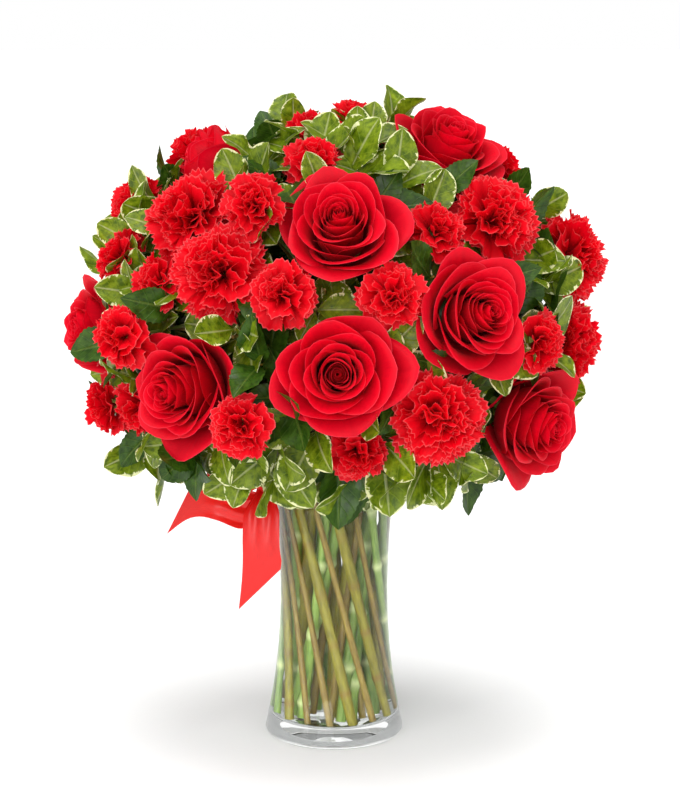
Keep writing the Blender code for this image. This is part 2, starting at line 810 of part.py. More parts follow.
def make_bow(finish, parent):
    """A knot with two loops, one to the left and one to the back."""
    knot = knot_place()
    ball = ((0, -1.0), (0.75, -0.75), (1, 0), (0.75, 0.75), (0, 1.0))
    knot_shell = turned_shell([(r * KNOT_RADIUS, z * KNOT_HALF_HEIGHT) for r, z in ball], 10)
    loops = [loop_shell(knot, aim(*way), hand) for way, hand in zip(LOOP_WAYS, (1, -1))]
    return grown_together("ribbon_bow", [placed(knot_shell, knot, (0, 0, 1)), loops], finish, parent)


def loop_shell(knot, way, hand):
    """One loop of the bow: out from the knot, round a fold, and back to it."""
    across = unit(np.cross(way, (0, 0, 1)))
    middle, side = [], []
    for turn in np.linspace(-0.94, 0.94, 9) * math.pi:
        out = LOOP_SIZE * 0.5 * (1 + math.cos(turn))
        bulge = LOOP_BULGE * math.sin(turn) * hand
        middle.append(knot + way * (LOOP_ROOT + out) + across * bulge)
        open_share = min(1, out / (LOOP_SIZE / 2))
        half = TAIL_ROOT_WIDTH + (RIBBON_WIDTH / 2 - TAIL_ROOT_WIDTH) * open_share
        side.append(np.array((0, 0, half)))
    return strip_shell(middle, side)


# Points of each tail's middle, outwards from the knot along its bearing, to the side, and down; and its turn.
TAIL_LEFT = (
    (0.010, -0.002, -0.022),
    (0.026, -0.019, -0.018),
    (0.042, -0.021, -0.014),
    (0.057, -0.018, -0.021),
)
TAIL_RIGHT = (
    (0.006, 0.010, -0.020),
    (0.008, 0.014, -0.040),
    (0.008, 0.015, -0.062),
    (0.010, 0.012, -0.088),
)
TAIL_LEFT_LEAN = (0.25, 0.2, 1.0)
TAIL_RIGHT_LEAN = (1.0, -0.35, 0.1)


def make_tail(name, places, lean, finish, parent):
    knot, out = knot_place(), aim(KNOT_BEARING, 0)
    across = aim(KNOT_BEARING + 90, 0)
    middle = [knot + out * ahead + across * aside + (0, 0, down) for ahead, aside, down in places]
    widths = [TAIL_ROOT_WIDTH] + [RIBBON_WIDTH / 2] * (len(places) - 1)
    crossways = unit(np.array(lean))
    side = [crossways * width for width in widths]
    return add(name, mesh_of(name, *strip_shell(middle, side)), finish, parent)


# ---------------------------------------------------------------- the bunch


def make_stem(route, finish, parent):
    name = f"{route.name}_stem"
    foot = stem_line(route)[0]
    points = np.concatenate([[foot], route.line])
    return add(name, mesh_of(name, *tube_shell(points, [route.radius] * len(points))), finish, parent)


def tapering(points, thick, thin):
    return tube_shell(points, np.linspace(thick, thin, len(points)))


def make_spray(name, routes, finish, parent):
    """A main stem that forks to its small heads."""
    main = next(route for route in routes if route.name == name)
    branches = [route for route in routes if route.parent is main]
    points = np.concatenate([[stem_line(main)[0]], main.line])
    points[-1] += unit(points[-1] - points[-2]) * 0.002
    forks = [tapering(with_tip(route.line), route.radius * 1.1, route.radius) for route in branches]
    heads = [bloom_shell(route.flower) for route in (main, *branches)]
    trunk = tapering(points, main.radius, main.radius * 0.8)
    return grown_together(name, [trunk, forks, heads], finish, parent)


def with_tip(points, more=0.002):
    """The route run on a little, into what it carries."""
    return np.concatenate([points[:-1], [points[-1] + unit(points[-1] - points[-2]) * more]])


def make_sprig(name, routes, leaves, finish, parent):
    """A twig that forks, with leaves round each tip."""
    main = next(route for route in routes if route.name == name)
    branches = [route for route in routes if route.parent is main]
    points = np.concatenate([[stem_line(main)[0]], main.line])
    forks = [tapering(route.line, route.radius, route.radius * 0.7) for route in branches]
    blades = [leaf_shell(leaf) for leaf in leaves[name]]
    trunk = tapering(points, main.radius, main.radius * 0.7)
    return grown_together(name, [trunk, forks, blades], finish, parent)


def clear_scene():
    for thing in list(bpy.data.objects):
        bpy.data.objects.remove(thing, do_unlink=True)


def main():
    clear_scene()
    glass = material("glass", (0.86, 0.93, 0.88), 0.02, 1.0)
    clear_water = material("water", (0.95, 0.98, 0.97), 0.02, 1.0)
    satin = material("ribbon", (0.72, 0.01, 0.02), 0.35)
    rose_red = material("rose_red", (0.50, 0.0, 0.015), 0.55)
    carnation_red = material("carnation_red", (0.72, 0.005, 0.02), 0.65)
    green_stem = material("green_stem", (0.24, 0.38, 0.10), 0.5)
    woody_stem = material("woody_stem", (0.28, 0.22, 0.08), 0.6)
    leaf_green = material("variegated_leaf", (0.22, 0.36, 0.10), 0.45)
    bunch = bpy.data.objects.new("flowers_in_vase", None)
    bpy.context.scene.collection.objects.link(bunch)

    blooms = plan_blooms()
    routes = plan_routes(blooms)
    leaves = plan_leaves(routes, blooms)

    make_vase(glass, bunch)
    make_water(routes, clear_water, bunch)
    make_band(satin, bunch)
    make_bow(satin, bunch)
    make_tail("ribbon_tail_left", TAIL_LEFT, TAIL_LEFT_LEAN, satin, bunch)
    make_tail("ribbon_tail_right", TAIL_RIGHT, TAIL_RIGHT_LEAN, satin, bunch)
    mains = {route.name: route for route in routes if not route.parent}
    for bloom in blooms:
        if bloom.kind == "mini":
            continue
        petals, stalk = (rose_red, woody_stem) if bloom.kind == "rose" else (carnation_red, green_stem)
        add(bloom.name, mesh_of(bloom.name, *bloom_shell(bloom)), petals, bunch)
        make_stem(mains[bloom.name], stalk, bunch)
    for name, _ in SPRAYS:
        make_spray(name, routes, carnation_red, bunch)
    for name, _ in SPRIGS:
        make_sprig(name, routes, leaves, leaf_green, bunch)


if __name__ == "__main__":
    main()
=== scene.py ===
"""The looks of a dome of red roses, carnations and variegated foliage in a glass vase, tied with a ribbon.

Metres, +Z up. The plan of the bunch says where each flower head, stem and leaf is. The petals, blades and
tubes that show are then grown round it.
"""

import json
import math

import bpy
import numpy as np
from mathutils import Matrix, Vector

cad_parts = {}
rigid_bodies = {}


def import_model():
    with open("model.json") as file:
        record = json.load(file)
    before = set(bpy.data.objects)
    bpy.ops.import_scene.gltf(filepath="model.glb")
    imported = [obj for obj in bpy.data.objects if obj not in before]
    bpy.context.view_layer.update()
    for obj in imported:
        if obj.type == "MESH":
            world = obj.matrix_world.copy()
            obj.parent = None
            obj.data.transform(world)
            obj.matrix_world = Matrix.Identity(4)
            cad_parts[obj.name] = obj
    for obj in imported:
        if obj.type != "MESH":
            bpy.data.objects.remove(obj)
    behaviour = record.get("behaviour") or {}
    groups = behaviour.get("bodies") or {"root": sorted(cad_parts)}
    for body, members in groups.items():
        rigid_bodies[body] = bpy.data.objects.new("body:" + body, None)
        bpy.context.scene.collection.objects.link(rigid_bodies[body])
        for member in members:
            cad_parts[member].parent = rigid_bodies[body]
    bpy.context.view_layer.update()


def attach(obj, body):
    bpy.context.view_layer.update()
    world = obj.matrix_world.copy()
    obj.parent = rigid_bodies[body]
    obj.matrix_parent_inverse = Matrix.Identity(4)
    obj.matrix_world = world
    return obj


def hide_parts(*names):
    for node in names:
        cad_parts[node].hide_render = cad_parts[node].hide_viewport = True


# ---------------------------------------------------------------- sizes and places

# The vase.
VASE_HEIGHT = 0.203
BASE_RADIUS = 0.0508
WAIST_RADIUS = 0.0385
WAIST_HEIGHT = 0.105
RIM_RADIUS = 0.046
WALL = 0.003
FLOOR_THICKNESS = 0.013
FOOT_ROUND = 0.0045
WATER_LEVEL = 0.172

# The ribbon, tied round the neck of the vase with its bow to the left.
RIBBON_WIDTH = 0.028
BAND_LOW = 0.182
BAND_HIGH = 0.198
BAND_MIDDLE = (BAND_LOW + BAND_HIGH) / 2
KNOT_BEARING = -68
LOOP_SIZE = 0.040
LOOP_WAYS = ((-74, 10), (-142, 24))
KNOT_OFF_GLASS = 0.0085
LOOP_BULGE = 0.011
LOOP_ROOT = 0.002
TAIL_ROOT_WIDTH = 0.006

# The dome of flowers: half sizes of an ellipsoid that is shallower at the back.
DOME_CENTRE = np.array((0.0, 0.0, 0.295))
DOME_WIDTH = 0.165
DOME_FRONT = 0.150
DOME_BACK = 0.120
DOME_HEIGHT = 0.145

# Stems cross the neck on rings of slots, and stand on the floor of the vase turned round by TWIST degrees.
NECK_HEIGHT = 0.210
STEM_FOOT = FLOOR_THICKNESS + 0.0012
RING_COUNTS = (1, 6, 12, 15)
RING_PITCH = 0.012
TWIST = 80
FLOOR_SPREAD = 1.03
STEM_GAP = 0.0036

# How the stems settle: how often they are moved, and the share of a push or a kink that a move takes up.
SETTLE_ROUNDS = 30
PUSH = 0.4
RIM_PUSH = 0.5
SPRING = 0.12

# Radius, height from calyx to face, depth of the open head within it, and radii of calyx and stem.
BLOOM_SIZES = {
    "rose": (0.0410, 0.052, 0.038, 0.011, 0.0028),
    "carnation": (0.0310, 0.054, 0.029, 0.009, 0.0023),
    "mini": (0.0200, 0.036, 0.018, 0.006, 0.0012),
}
BLOOM_GAP = 0.0012

# Name, bearing and elevation on the dome, how far out of it, and the bearing and elevation that it faces.
ROSES = (
    ("rose_top_left", -77, 53, -0.011, -90, 36),
    ("rose_top_right", 69, 56, 0.000, 30, 56),
    ("rose_front_top", 1, 33, 0.000, -4, 34),
    ("rose_left", -87, -2, -0.002, -62, 6),
    ("rose_front_left", -41, -9, 0.000, -38, 0),
    ("rose_front", 2, -2, 0.004, 0, 8),
    ("rose_front_right", 37, 8, 0.000, 26, 14),
    ("rose_right", 61, -18, 0.003, 46, -6),
    ("rose_back_left", -140, 22, 0.000, -140, 22),
    ("rose_back_top", 178, 50, 0.000, 178, 46),
    ("rose_back_right", 142, 8, 0.000, 142, 8),
)
CARNATIONS = (
    ("carnation_front_left", -33, 22, 0.000, -22, 14),
    ("carnation_upper_left", -52, 36, -0.004, -50, 30),
    ("carnation_upper_right", 57, 33, 0.002, 40, 24),
    ("carnation_far_right", 87, 13, 0.013, 62, 12),
    ("carnation_low_right", 84, 0, 0.005, 62, -4),
    ("carnation_front_low", 27, -13, 0.008, 14, -6),
    ("carnation_back_left", -112, 2, 0.004, -112, 0),
    ("carnation_back_low", 176, 6, 0.000, 176, 2),
    ("carnation_back_right", 118, 33, 0.004, 118, 30),
)
# Bearing, elevation and how far out of the dome for each small head. The first ends the main stem.
SPRAYS = (
    ("spray_top", ((-10, 58, 0), (-44, 80, 0), (111, 83, 0.004), (-19, 36, 0.010), (-104, 50, 0.008))),
    ("spray_left", ((-73, 19, 0.006), (-93, 31, 0.010), (-50, 16, 0), (-50, -1, 0.012), (-122, 24, 0))),
    ("spray_front", ((16, 12, 0), (-17, 18, 0.004), (35, 32, -0.002))),
    ("spray_right", ((104, 42, 0.012), (53, -3, 0), (112, 10, 0), (102, -16, 0))),
    ("spray_low", ((7, -26, 0.004), (-25, -14, 0.018), (-66, -17, 0), (-80, -11, 0.002))),
    ("spray_back", ((160, -14, 0), (-165, 28, 0), (-162, -12, 0), (-124, -16, 0), (160, 28, 0))),
)
# The same for the tips of each sprig of foliage.
SPRIGS = (
    ("foliage_top", ((12, 60, 0), (-98, 76, 0.006), (97, 74, 0.006), (-150, 68, 0))),
    ("foliage_upper_right", ((89, 30, 0.006), (72, 20, -0.004), (70, 42, -0.004))),
    ("foliage_right", ((82, -14, 0.006), (50, -34, 0), (112, -30, 0))),
    ("foliage_front", ((-5, 13, -0.004), (19, 22, -0.012), (-30, 4, -0.010))),
    ("foliage_upper_left", ((-86, 15, 0.006), (-98, 40, 0.004), (-64, 12, -0.006))),
    ("foliage_low_left", ((-48, -27, 0), (-22, -40, 0), (-95, -22, 0))),
    ("foliage_low_front", ((6, -42, 0), (32, -38, 0))),
    ("foliage_back", ((-178, 26, 0.004), (-150, -28, 0), (160, -34, 0), (138, 36, 0))),
)
SPRAY_STEM_RADIUS = 0.0021
TWIG_RADIUS = 0.0019
TWIG_SHORT_OF_TIP = 0.012
BRANCH_FORKS = (0.25, 0.60)

# Leaves: distance from the tip, turn round the twig, opening angle from it, and size.
LEAF_LENGTH = 0.037
LEAF_WIDTH = 0.023
LEAF_ROOT = 0.001
LEAF_BACK_STEP = 0.004
LEAF_PLACES = (
    (0.000, 0, 28, 1.00),
    (0.003, 60, 62, 1.00),
    (0.005, 180, 58, 0.95),
    (0.007, 300, 64, 1.00),
    (0.018, 120, 66, 0.95),
    (0.022, 250, 62, 0.90),
    (0.036, 10, 68, 0.90),
)
# What a leaf tries when its place is taken: a change of turn, one of opening angle, a share of its size.
LEAF_TRIES = (
    (0, 0, 1.0),
    (0, 22, 1.0),
    (30, 0, 1.0),
    (-30, 0, 1.0),
    (0, -22, 0.9),
    (35, 20, 0.85),
    (-35, 20, 0.85),
    (60, -10, 0.8),
    (0, 30, 0.65),
)
LEAF_CLEAR = 0.0065
LEAF_BLOOM_CLEAR = 0.0034
LEAF_STEM_CLEAR = 0.0045


# ---------------------------------------------------------------- the plan of the bunch


def aim(bearing, elevation):
    """The unit vector that way."""
    around, up = math.radians(bearing), math.radians(elevation)
    return np.array((math.sin(around) * math.cos(up), -math.cos(around) * math.cos(up), math.sin(up)))


def unit(vector):
    return vector / np.linalg.norm(vector)


def units(rows):
    """Each row as a unit vector."""
    return rows / np.linalg.norm(rows, axis=1)[:, None]


def reached_at(points):
    """How far along a line of points each of them is."""
    return np.concatenate([[0], np.cumsum(np.linalg.norm(np.diff(points, axis=0), axis=1))])


def length_of(points):
    return float(np.linalg.norm(np.diff(np.array(points), axis=0), axis=1).sum())


def hermite(t, start, leave, end, arrive):
    """Points of the cubic curve between two ends, with a direction at each."""
    return (
        (2 * t**3 - 3 * t**2 + 1) * start
        + (t**3 - 2 * t**2 + t) * leave
        + (3 * t**2 - 2 * t**3) * end
        + (t**3 - t**2) * arrive
    )


def rotated(x, y, turn):
    """A point turned about Z."""
    c, s = math.cos(turn), math.sin(turn)
    return x * c - y * s, x * s + y * c


def on_dome(bearing, elevation, out=0.0):
    """The point of the dome that way from its centre, moved out of it by that much."""
    way = aim(bearing, elevation)
    depth = DOME_FRONT if way[1] < 0 else DOME_BACK
    reach = 1 / np.linalg.norm(way / (DOME_WIDTH, depth, DOME_HEIGHT))
    return DOME_CENTRE + way * (reach + out)


class Bloom:
    """A flower head: an envelope round its open petals, and a calyx behind it."""

    def __init__(self, name, kind, middle, axis):
        self.name, self.kind, self.middle, self.axis = name, kind, middle, unit(axis)
        self.radius, self.height, self.depth, self.calyx, self.stem_radius = BLOOM_SIZES[kind]

    @property
    def foot(self):
        return self.middle - self.axis * (self.height - self.depth / 2)

    def reach_towards(self, way):
        """Half the size of the envelope, an ellipsoid, in a direction."""
        along = float(way @ self.axis)
        return math.sqrt((self.depth / 2 * along) ** 2 + self.radius**2 * max(0.0, 1 - along**2))


class Route:
    """A stem, branch or twig: the points along it, its radius, and the flower that it ends in."""

    def __init__(self, name, family, points, radius, flower=None, parent=None, fork=0):
        self.name, self.family, self.points, self.radius = name, family, points, radius
        self.flower, self.parent, self.fork = flower, parent, fork


def plan_blooms():
    blooms = []
    for kind, table in (("rose", ROSES), ("carnation", CARNATIONS)):
        for name, bearing, elevation, out, face_bearing, face_elevation in table:
            middle = on_dome(bearing, elevation, out)
            blooms.append(Bloom(name, kind, middle, aim(face_bearing, face_elevation)))
    for name, heads in SPRAYS:
        for number, (bearing, elevation, out) in enumerate(heads):
            middle = on_dome(bearing, elevation, out)
            blooms.append(Bloom(f"{name}_{number}", "mini", middle, aim(bearing, elevation * 0.9)))
    make_room(blooms)
    return blooms


def make_room(blooms, rounds=150):
    """Moves flower heads apart until their envelopes are clear, as they press on each other in a bunch."""
    for _ in range(rounds):
        for place, first in enumerate(blooms):
            for second in blooms[place + 1 :]:
                across = second.middle - first.middle
                distance = np.linalg.norm(across)
                way = across / distance
                short = first.reach_towards(way) + second.reach_towards(way) + BLOOM_GAP - distance
                if short > 0:
                    share = second.radius**2 / (first.radius**2 + second.radius**2)
                    first.middle = first.middle - way * short * share * 0.5
                    second.middle = second.middle + way * short * (1 - share) * 0.5


def curve(start, start_way, end, end_way, spacing=0.008):
    """Points of a curve that leaves and arrives along two directions."""
    span = np.linalg.norm(end - start)
    t = np.linspace(0, 1, max(5, round(span * 1.1 / spacing)) + 1)[:, None]
    return hermite(t, start, start_way * span, end, end_way * span * 0.9)


def neck_slots():
    """The places where stems cross the neck, ring by ring, as (x, y)."""
    rings = []
    for ring, count in enumerate(RING_COUNTS):
        turns = [2 * math.pi * (step + 0.5 * (ring % 2)) / count for step in range(count)]
        rings.append([np.array((math.sin(a), -math.cos(a))) * ring * RING_PITCH for a in turns])
    return rings


def floor_point(slot):
    """Where the stem in that slot of the neck stands on the floor of the vase."""
    return np.array((*rotated(*slot * FLOOR_SPREAD, math.radians(TWIST)), STEM_FOOT))


def bearing_of(point):
    return math.atan2(point[0], -point[1])


def share_slots(targets):
    """A neck slot for each target: the steepest in the inner rings, and in the order that they go round."""
    neck = np.array((0, 0, NECK_HEIGHT))
    slope = [math.hypot(*(target - neck)[:2]) / (target - neck)[2] for target in targets]
    slope = [value if value > 0 else math.inf for value in slope]
    order = sorted(range(len(targets)), key=lambda index: slope[index])
    chosen = {}
    for slots in neck_slots():
        members, order = order[: len(slots)], order[len(slots) :]
        members.sort(key=lambda index: bearing_of(targets[index]))
        slots = sorted(slots, key=bearing_of)

        def mismatch(shift):
            turned = slots[shift:] + slots[:shift]
            pairs = zip((targets[index][:2] for index in members), turned)
            return sum(np.linalg.norm(unit(target) - unit(slot + 1e-9)) ** 2 for target, slot in pairs)

        best = min(range(len(slots)), key=mismatch)
        for place, index in enumerate(members):
            chosen[index] = slots[(place + best) % len(slots)]
    return chosen


def stem_jobs(blooms, heads):
    """Name, end, way there, radius and flower of every main stem."""
    single = [bloom for bloom in blooms if bloom.kind != "mini"]
    jobs = [(bloom.name, bloom.foot, bloom.axis, bloom.stem_radius, bloom) for bloom in single]
    for name, _ in SPRAYS:
        first = heads[f"{name}_0"]
        jobs.append((name, first.foot, first.axis, SPRAY_STEM_RADIUS, first))
    for name, tips in SPRIGS:
        jobs.append((name, *twig_end(tips[0]), TWIG_RADIUS, None))
    return jobs


def main_routes(jobs):
    """The main stems, from the neck up to what they carry."""
    slots = share_slots([job[1] for job in jobs])
    routes = []
    for index, (name, end, way, radius, flower) in enumerate(jobs):
        start = np.array((*slots[index], NECK_HEIGHT))
        upwards = unit(start - floor_point(slots[index]))
        routes.append(Route(name, name, curve(start, upwards, end, way), radius, flower))
    return routes


def branch_routes(mains, heads):
    """The branches that leave the main stems of the sprays and the sprigs."""
    found = []
    for name, places in SPRAYS:
        for number in range(1, len(places)):
            bloom = heads[f"{name}_{number}"]
            share = fork_share(number, len(places))
            to_bloom = (bloom.foot, bloom.axis, share, bloom.stem_radius, bloom)
            found.append(branch(mains[name], bloom.name, *to_bloom))
    for name, tips in SPRIGS:
        for number in range(1, len(tips)):
            share = fork_share(number, len(tips))
            to_tip = (*twig_end(tips[number]), share, TWIG_RADIUS * 0.85)
            found.append(branch(mains[name], f"{name}_{number}", *to_tip))
    return found


def plan_routes(blooms):
    """Every main stem from the neck up, then the branches that leave them, all bent clear of each other."""
    heads = {bloom.name: bloom for bloom in blooms}
    routes = main_routes(stem_jobs(blooms, heads))
    routes += branch_routes({route.name: route for route in routes}, heads)
    settle(routes, blooms)
    return routes


def twig_end(tip):
    """The end of a twig that carries leaves out to a place on the dome, and the way it points."""
    way = aim(tip[0], tip[1])
    return on_dome(*tip) - way * TWIG_SHORT_OF_TIP, way


def fork_share(number, count):
    """How far up the main stem a branch leaves it."""
    low, high = BRANCH_FORKS
    return low + (high - low) * (number - 1) / max(1, count - 2)


def branch(main, name, end, way, share, radius, flower=None):
    fork = round(share * (len(main.points) - 1))
    start = main.points[fork]
    tangent = unit(main.points[fork + 1] - start)
    leave = unit(tangent + 0.8 * unit(end - start))
    return Route(name, main.family, curve(start, leave, end, way), radius, flower, main, fork)


def each_owner(routes):
    """For every point of the routes in turn: its route's number, its radius, and its family's number."""
    names = [route.family for route in routes]
    counts = [len(route.points) for route in routes]
    owner = np.repeat(np.arange(len(routes)), counts)
    radius = np.array([route.radius for route in routes])[owner]
    family = np.array([names.index(name) for name in names])[owner]
    return owner, radius, family


def settle(routes, blooms):
    """Bends the stems apart, round the flower heads and over the rim. Only a twig's tip is free."""
    points = np.concatenate([route.points for route in routes])
    owner, radius, family = each_owner(routes)
    starts = np.cumsum([0] + [len(route.points) for route in routes])
    rows = [slice(low, high) for low, high in zip(starts[:-1], starts[1:])]
    held = np.zeros(len(points), bool)
    for route, span in zip(routes, rows):
        held[span.start : span.start + 2] = True
        held[span.stop - 2 : span.stop] = route.flower is not None
    for _ in range(SETTLE_ROUNDS):
        push = push_between(points, radius, family)
        for bloom in blooms:
            own = np.array([route.flower is bloom for route in routes])[owner]
            push += push_from_bloom(points, radius, bloom) * ~own[:, None]
        push += push_from_rim(points, radius)
        push[held] = 0
        for span in rows:
            points[span] += smoothed(push[span])
            points[span] += stiffness(points[span]) * ~held[span][:, None]
        follow_forks(routes, rows, points)
    for route, span in zip(routes, rows):
        route.points = points[span].copy()
    for route in routes:
        route.line = thinned(route.points)
        if route.parent:
            route.line[0] = nearest_on(route.parent.line, route.line[0])


def follow_forks(routes, rows, points):
    """Moves the root of each branch to where its fork has gone."""
    for index, route in enumerate(routes):
        if route.parent:
            anchor = points[rows[routes.index(route.parent)]][route.fork]
            first = rows[index].start
            points[first : first + 2] += anchor - points[first]


def thinned(points, spacing=0.024):
    """Fewer points along the same route."""
    reached = reached_at(points)
    wanted = np.linspace(0, reached[-1], max(3, round(reached[-1] / spacing) + 1))
    return at_distance(points, reached, wanted)


def at_distance(points, reached, wanted):
    """Where a line of points is, at those distances along it."""
    return np.stack([np.interp(wanted, reached, column) for column in points.T], axis=-1)


def nearest_on(line, point):
    """The point of a line of points that is nearest."""
    starts, steps = line[:-1], np.diff(line, axis=0)
    share = np.clip(((point - starts) * steps).sum(axis=1) / (steps**2).sum(axis=1), 0, 1)
    found = starts + share[:, None] * steps
    return found[np.argmin(np.linalg.norm(found - point, axis=1))]


def push_between(points, radius, family):
    """Pushes that part the points of different families."""
    square = (points**2).sum(axis=1)
    near = square[:, None] + square[None] - 2 * points @ points.T
    reach = radius[:, None] + radius[None] + STEM_GAP
    first, second = np.nonzero((near < reach**2) & (family[:, None] != family[None]))
    across = points[first] - points[second]
    distance = np.linalg.norm(across, axis=1) + 1e-9
    short = reach[first, second] - distance
    push = np.zeros_like(points)
    np.add.at(push, first, across / distance[:, None] * np.maximum(short, 0)[:, None] * PUSH)
    return push


def push_from_bloom(points, radius, bloom, margin=0.0015):
    """Pushes out of a flower's envelope and away from its calyx."""
    offset = points - bloom.middle
    along = offset @ bloom.axis
    aside = np.linalg.norm(offset - along[:, None] * bloom.axis, axis=1)
    size = np.hypot(along / (bloom.depth / 2 + margin + radius), aside / (bloom.radius + margin + radius))
    push = offset * np.maximum(0, 1 / (size + 1e-6) - 1)[:, None] * PUSH
    stalk = bloom.middle - bloom.foot
    share = np.clip((points - bloom.foot) @ stalk / (stalk @ stalk), 0, 1)
    away = points - bloom.foot - share[:, None] * stalk
    distance = np.linalg.norm(away, axis=1) + 1e-9
    short = np.maximum(0, bloom.calyx + radius + margin - distance)
    return push + away / distance[:, None] * short[:, None] * PUSH


def push_from_rim(points, radius, margin=0.0045):
    """Pushes away from the circle of the vase's rim."""
    flat = np.linalg.norm(points[:, :2], axis=1) + 1e-9
    rim = points * 1.0
    rim[:, :2] *= ((RIM_RADIUS - WALL / 2) / flat)[:, None]
    rim[:, 2] = VASE_HEIGHT - 0.002
    away = points - rim
    distance = np.linalg.norm(away, axis=1) + 1e-9
    short = np.maximum(0, margin + radius - distance)
    return away / distance[:, None] * short[:, None] * RIM_PUSH


def smoothed(push):
    spread = push.copy()
    spread[1:-1] = 0.5 * push[1:-1] + 0.25 * (push[:-2] + push[2:])
    return spread


def stiffness(points):
    """What a springy stem does about a kink: it spreads the bend along its length."""
    bend = points[:-2] - 2 * points[1:-1] + points[2:]
    ease = np.zeros_like(points)
    ease[2:-2] = -SPRING * (bend[:-2] - 2 * bend[1:-1] + bend[2:])
    return ease


class Leaf:
    """A leaf on a twig: where it leaves the twig, the way it points, its upper side, and its size."""

    def __init__(self, root, way, face, size):
        self.root, self.way = root, unit(way)
        self.face = unit(face - self.way * (face @ self.way))
        self.side = np.cross(self.way, self.face)
        self.length, self.width = LEAF_LENGTH * size, LEAF_WIDTH * size

    def samples(self):
        """Points over the leaf that stand for it when room is looked for."""
        found = []
        for share, half in ((0.25, 0.30), (0.5, 0.5), (0.75, 0.40), (1.0, 0.0)):
            for across in (-half, 0, half) if half else (0,):
                found.append(self.root + self.way * self.length * share + self.side * self.width * across)
        return np.array(found)


def plan_leaves(routes, blooms):
    """The leaves of each sprig: a tuft at each tip and a few below it, wherever there is room."""
    stem_points = np.concatenate([route.points for route in routes])
    owner, radius, _ = each_owner(routes)
    taken = np.zeros((0, 3))
    leaves = {name: [] for name, _ in SPRIGS}
    for index, route in enumerate(routes):
        if route.family not in leaves:
            continue
        others = owner != index
        for place in LEAF_PLACES:
            for change in LEAF_TRIES:
                leaf = leaf_at(route, place, change)
                samples = leaf.samples()
                clear = has_room(samples, blooms, taken)
                clear = clear and apart(samples, stem_points[others], radius[others] + LEAF_STEM_CLEAR)
                if clear:
                    leaves[route.family].append(leaf)
                    taken = np.concatenate([taken, samples])
                    break
    return leaves


def leaf_at(route, place, change):
    back, turn, opening, size = place
    turn_more, open_more, size_share = change
    points = route.line[::-1]
    here, behind = at_distance(points, reached_at(points), (back, back + LEAF_BACK_STEP))
    way, face = leaf_ways(unit(points[0] - behind), turn + turn_more, opening + open_more)
    return Leaf(here - way * LEAF_ROOT, way, face, size * size_share)


def leaf_ways(ahead, turn, opening):
    """The way a leaf points and the way it faces, on a twig that points ahead."""
    level = unit(np.cross(ahead, (0.0, 0.0, 1.0)) + 1e-6)
    upright = np.cross(level, ahead)
    around, tilt = math.radians(turn), math.radians(opening)
    outward = level * math.cos(around) + upright * math.sin(around)
    way = ahead * math.cos(tilt) + outward * math.sin(tilt)
    face = ahead * math.sin(tilt) - outward * math.cos(tilt)
    return way, face


def apart(samples, others, reach):
    distance = np.linalg.norm(samples[:, None] - others[None], axis=2)
    return bool((distance > reach[None]).all())


def has_room(samples, blooms, taken):
    """Whether a leaf is clear of the flower heads, the vase, the ribbon and the leaves that are there."""
    still = np.zeros(len(samples))
    for bloom in blooms:
        if np.abs(push_from_bloom(samples, still + LEAF_BLOOM_CLEAR, bloom)).max() > 1e-7:
            return False
    flat = np.linalg.norm(samples[:, :2], axis=1)
    if ((flat < RIM_RADIUS + 0.005) & (samples[:, 2] < VASE_HEIGHT + 0.004)).any():
        return False
    if np.linalg.norm(samples - ribbon_middle(), axis=1).min() < LOOP_SIZE:
        return False
    return len(taken) == 0 or apart(samples, taken, np.full(len(taken), LEAF_CLEAR))


def ribbon_middle():
    """The middle of the space that the bow takes."""
    return aim(KNOT_BEARING, 0) * (RIM_RADIUS + LOOP_SIZE * 0.55) + (0, 0, BAND_MIDDLE - 0.008)


def frames_along(points):
    """A tangent and two crossways unit vectors at each point, turned as little as can be."""
    ways = units(np.gradient(points, axis=0))
    across = unit(np.cross(ways[0], (0.3, 1.0, 0.2)))
    found = []
    for way in ways:
        across = unit(across - way * (across @ way))
        found.append((way, across, np.cross(way, across)))
    return found


def outer_radius(height):
    """The glass is narrowest at the waist, and flares to the foot and a little to the rim."""
    if height < WAIST_HEIGHT:
        share = (WAIST_HEIGHT - height) / WAIST_HEIGHT
        return WAIST_RADIUS + (BASE_RADIUS - WAIST_RADIUS) * share**2.1
    share = (height - WAIST_HEIGHT) / (VASE_HEIGHT - WAIST_HEIGHT)
    return WAIST_RADIUS + (RIM_RADIUS - WAIST_RADIUS) * share**2


def stem_line(route):
    """The straight stretch of a main stem, from the floor of the vase to the neck."""
    slot = route.points[0][:2]
    return floor_point(slot), route.points[0]


def knot_place():
    return aim(KNOT_BEARING, 0) * (outer_radius(BAND_MIDDLE) + KNOT_OFF_GLASS) + (0, 0, BAND_MIDDLE)


# Points of each tail's middle, outwards from the knot along its bearing, to the side, and down; its turn.
TAIL_LEFT = (
    (0.010, -0.002, -0.022),
    (0.026, -0.019, -0.018),
    (0.042, -0.021, -0.014),
    (0.057, -0.018, -0.021),
)
TAIL_RIGHT = (
    (0.006, 0.010, -0.020),
    (0.008, 0.014, -0.040),
    (0.008, 0.015, -0.062),
    (0.010, 0.012, -0.088),
)
TAIL_LEFT_LEAN = (0.25, 0.2, 1.0)
TAIL_RIGHT_LEAN = (1.0, -0.35, 0.1)


# ---------------------------------------------------------------- sheets and tubes gathered into meshes


def rise(low, high, value):
    """0 below low, 1 above high, and a smooth rise between."""
    share = np.clip((value - low) / (high - low), 0, 1)
    return share * share * (3 - 2 * share)


# The edge left free round each sheet in its cell of the flat layout, and the share that it fills.
CELL_EDGE = 0.03
CELL_SPAN = 1 - 2 * CELL_EDGE


